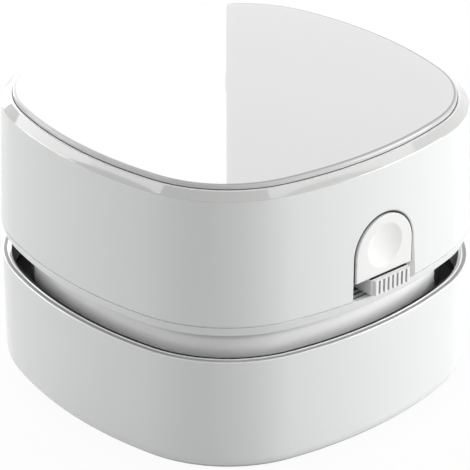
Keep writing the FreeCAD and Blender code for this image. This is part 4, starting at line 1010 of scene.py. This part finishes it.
plate_rings = [outline(PLATE_HALF, SEAT_Z), outline(PLATE_HALF, GAP_SHADOW_TOP)]
for step in range(7):
    angle = math.radians(15 * step)
    plate_rings.append(crowned(outline(PLATE_HALF - PLATE_EDGE * (1 - math.cos(angle)), 0),
                               EASE_FALL + PLATE_EDGE * (1 - math.sin(angle))))
dome = outline(PLATE_HALF - PLATE_EDGE - EASE_WIDTH, 0)
plate_rings.append(crowned(dome))
for step in range(1, 14):
    plate_rings.append(crowned([p * (1 - step / 14) for p in dome]))
top_plate = pull_rings("cover_plate", plate_rings)
# White polystyrene polished to a mirror: a clean sharp reflection over white.
polished = plastic("white_polished_plate", "#e7e7e7", 0.03, 1.52, 9.0, 0.0006, 0.003)
finish(top_plate, polished, "white_plate", "cover", "top_plate")
# The edge is polished too, and its grey is a painted reflection.
edge_painted_reflection = plastic("plate_edge_painted_reflection", "#cbcbcb", 0.04, 1.52, 9.0, 0.0006, 0.003)
trim(top_plate, edge_painted_reflection, lambda p, n: abs(n.z) < 0.985 and p.z > GAP_SHADOW_TOP)
# The ease between the dome and the edge is a darker grey, a painted reflection.
ease_painted_reflection = plastic("plate_ease_painted_reflection", "#aeaeae", 0.05, 1.5, 9.0, 0.0006, 0.003)
trim(top_plate, ease_painted_reflection, lambda p, n: 0.97 < n.z < 0.992)
# Below the edge the plate's side is black as painted shadow of the gap.
trim(top_plate, black_rubber, lambda p, n: abs(n.z) < 0.45 and p.z < GAP_SHADOW_TOP)
dress(abs_plain, "cover_frame")


# ------------------------------------------------------------- push button
# Satin ABS button with a finger dimple. Its stem runs in the frame's guide
# against a coil spring, and its hook arm reaches down to the cup's seat.
BUTTON_RADIUS = 7.15
BUTTON_LOW = 36.1
BUTTON_BACK = -39.3
FLANGE_BACK = -38.4
FLANGE_RADIUS = 8.05
BUTTON_FRONT = -41.95
DIMPLE_RADIUS = 4.45
DIMPLE_DEPTH = 0.75
DIMPLE_Z = 42.0
DIMPLE_ROUND = 0.12
BUTTON_ROUND = 0.18
STEM_RADIUS = 2.0
ARM_FRONT = -33.2
ARM_BACK = -31.8
ARM_TOP = 43.1
HOOK_LOW = 16.5
HOOK_TOP = 17.5
HOOK_TIP = -34.7


def round_in_arch(radius, y):
    """Round ring about the dimple's centre whose points lie in line with the arch's."""
    centre = Vector((CONTROL_X, y, DIMPLE_Z)) * MM
    return [centre + (p - centre).normalized() * radius * MM
            for p in arch(BUTTON_RADIUS, BUTTON_LOW, y)]


ball = (DIMPLE_RADIUS ** 2 + DIMPLE_DEPTH ** 2) / (2 * DIMPLE_DEPTH)
button_rings = []
for step in range(1, 15):
    across = DIMPLE_RADIUS * step / 14
    depth = DIMPLE_DEPTH - ball + math.sqrt(ball ** 2 - across ** 2)
    button_rings.append(round_in_arch(across, BUTTON_FRONT + depth))
button_rings += [arch(BUTTON_RADIUS, BUTTON_LOW, BUTTON_FRONT),
                 arch(BUTTON_RADIUS, BUTTON_LOW, FACE_Y - 0.1),
                 arch(BUTTON_RADIUS, BUTTON_LOW, BUTTON_BACK),
                 arch(FLANGE_RADIUS, BUTTON_LOW, BUTTON_BACK),
                 arch(FLANGE_RADIUS, BUTTON_LOW, FLANGE_BACK)]
push_button = pull_rings("release_button", button_rings)
# The dimple's edge and the button's own edge are rounded.
round_level(push_button, 13, DIMPLE_ROUND, 3)
round_level(push_button, 14, BUTTON_ROUND, 3)
stem = slab("stem", stem_outline(STEM_RADIUS), "Y", FLANGE_BACK - SUNK, ARM_BACK)
arm = slab("hook_arm", ((ARM_FRONT, ARM_TOP), (ARM_BACK, ARM_TOP), (ARM_BACK, HOOK_LOW),
                        (HOOK_TIP + 0.3, HOOK_LOW), (HOOK_TIP, HOOK_LOW + 0.3),
                        (HOOK_TIP, HOOK_TOP), (ARM_FRONT, HOOK_TOP)),
           "X", CONTROL_X - STEM_RADIUS, CONTROL_X + STEM_RADIUS, 0.15)
join(push_button, stem, arm)
# ABS from a lightly eroded mould: a soft satin, fine grain.
abs_satin = plastic("white_abs_satin", "#ececeb", 0.4, 1.53, 0.35, 0.008, 0.006)
finish(push_button, abs_satin, "white_satin", "button", "push_button")
# Its sides and flange are dark grey as painted shade in the gap round it.
trim(push_button, grey_painted_shadow, lambda p, n: FACE_Y - 0.1 < p.y < BUTTON_BACK + 0.02
     and math.hypot(p.x - CONTROL_X, max(p.z - ARCH_Z, 0)) > BUTTON_RADIUS - 0.1)
# Its lower face, above the knob, is black as painted shadow of the gap, in the black rubber
# material.
trim(push_button, black_rubber, lambda p, n: n.z < -0.5 and p.y < BUTTON_BACK
     and BUTTON_LOW - 0.1 < p.z < BUTTON_LOW + 0.1)


# ----------------------------------------------------------- button spring
# Coil spring of nickel-plated wire round the stem. It stands on the guide and
# pushes the flange forward, and it shortens as the button goes in.
SPRING_RADIUS = 3.0
SPRING_WIRE = 0.25
SPRING_TURNS = 3
SPRING_STEPS = 24
WIRE_SIDES = 10
climb = (GUIDE_FRONT - FLANGE_BACK - 2 * SPRING_WIRE) / (SPRING_TURNS * SPRING_STEPS)
coil_rings = []
for step in range(SPRING_TURNS * SPRING_STEPS + 1):
    turn = 2 * math.pi * step / SPRING_STEPS
    ring = []
    for i in range(WIRE_SIDES):
        angle = 2 * math.pi * i / WIRE_SIDES
        reach = SPRING_RADIUS + SPRING_WIRE * math.cos(angle)
        y = FLANGE_BACK + SPRING_WIRE * (1 + math.sin(angle)) + climb * step
        ring.append(Vector((CONTROL_X + reach * math.cos(turn), y,
                            ARCH_Z + reach * math.sin(turn))) * MM)
    coil_rings.append(ring)
button_coil = pull_rings("button_coil", coil_rings)
finish(button_coil, nickel_steel, "steel", "head", "button_spring")
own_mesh(button_coil)


# -------------------------------------------------------------- slide knob
# Satin ABS knob of the power switch. Eight upright ribs give the thumb a grip,
# and the switch lever is pressed into its back.
KNOB_LEFT = -3.4
KNOB_RIGHT = 6.4
KNOB_BACK = -37.2
KNOB_FRONT = -43.35
KNOB_GROOVE = -42.7
KNOB_LOW = 32.9
KNOB_TOP = 35.98
KNOB_CORNER = 0.45
KNOB_EDGE = 0.07
KNOB_RIBS = 8
RIB_FILL = 0.62
RIB_MARGIN = 0.225
RIB_DRAFT = 0.04
LEDGE_HEIGHT = 0.12
KNOB_SHADOW_FRONT = -42.3
KNOB_SHADOW_BACK = -38.2
KNOB_SHADOW_RISE = 0.07


def comb(front, groove):
    """Plan outline of the knob, with its ribs out to front and the grooves back to groove."""
    corner = []
    for step in range(5):
        angle = math.radians(22.5 * step)
        corner.append((KNOB_CORNER * (1 - math.cos(angle)), KNOB_CORNER * (1 - math.sin(angle))))
    points = [(KNOB_LEFT, KNOB_BACK)] + [(KNOB_LEFT + x, groove + y) for x, y in corner]
    pitch = (KNOB_RIGHT - KNOB_LEFT - 2 * RIB_MARGIN) / KNOB_RIBS
    for i in range(KNOB_RIBS):
        x = KNOB_LEFT + RIB_MARGIN + pitch * (i + (1 - RIB_FILL) / 2)
        points += [(x, groove), (x + RIB_DRAFT, front),
                   (x + pitch * RIB_FILL - RIB_DRAFT, front), (x + pitch * RIB_FILL, groove)]
    points += [(KNOB_RIGHT - x, groove + y) for x, y in reversed(corner)]
    return points + [(KNOB_RIGHT, KNOB_BACK)]


slide_knob = pull_rings("slide_knob_cap", [[Vector((x, y, z)) * MM
                                            for x, y in comb(KNOB_FRONT, KNOB_GROOVE)]
                                           for z in (KNOB_LOW, KNOB_TOP)])
# A thin ledge closes the ribs at the top.
ledge = box("knob_ledge", (KNOB_LEFT + KNOB_CORNER, KNOB_FRONT + 0.01, KNOB_TOP - LEDGE_HEIGHT),
            (KNOB_RIGHT - KNOB_CORNER, KNOB_GROOVE + 0.5, KNOB_TOP - 0.01))
join(slide_knob, ledge)
soften(slide_knob, KNOB_EDGE)
finish(slide_knob, abs_satin, "white_satin", "knob", "slide_knob")
# The grooves between the ribs are grey as painted shade.
groove_painted_shade = surface("grey_painted_shade_in_grooves", "#cdcdcf", "#bfbfc1", 0.6, 0.0,
                    "ShaderNodeTexNoise", (0.3, 0.3, 0.3), 0.01)
trim(slide_knob, groove_painted_shade, lambda p, n: abs(n.z) < 0.3
     and KNOB_FRONT + 0.1 < p.y < KNOB_GROOVE + 0.1
     and KNOB_LEFT + 0.7 < p.x < KNOB_RIGHT - 0.7)
# A black strip on the knob's top, under the button, is painted shadow of the gap there.
knob_painted_shadow = surface("black_shadow_on_knob", "#1c1c1d", "#101011", 0.95, 0.0,
               "ShaderNodeTexNoise", (0.3, 0.1, 0.1), 0.05)
knob_shadow_piece = box("knob_shadow_box", (KNOB_LEFT + 0.1, KNOB_SHADOW_FRONT, KNOB_TOP - 0.1),
            (KNOB_RIGHT - 0.1, KNOB_SHADOW_BACK, KNOB_TOP + KNOB_SHADOW_RISE), 0.02)
finish(knob_shadow_piece, knob_painted_shadow, "black_nylon", "knob")
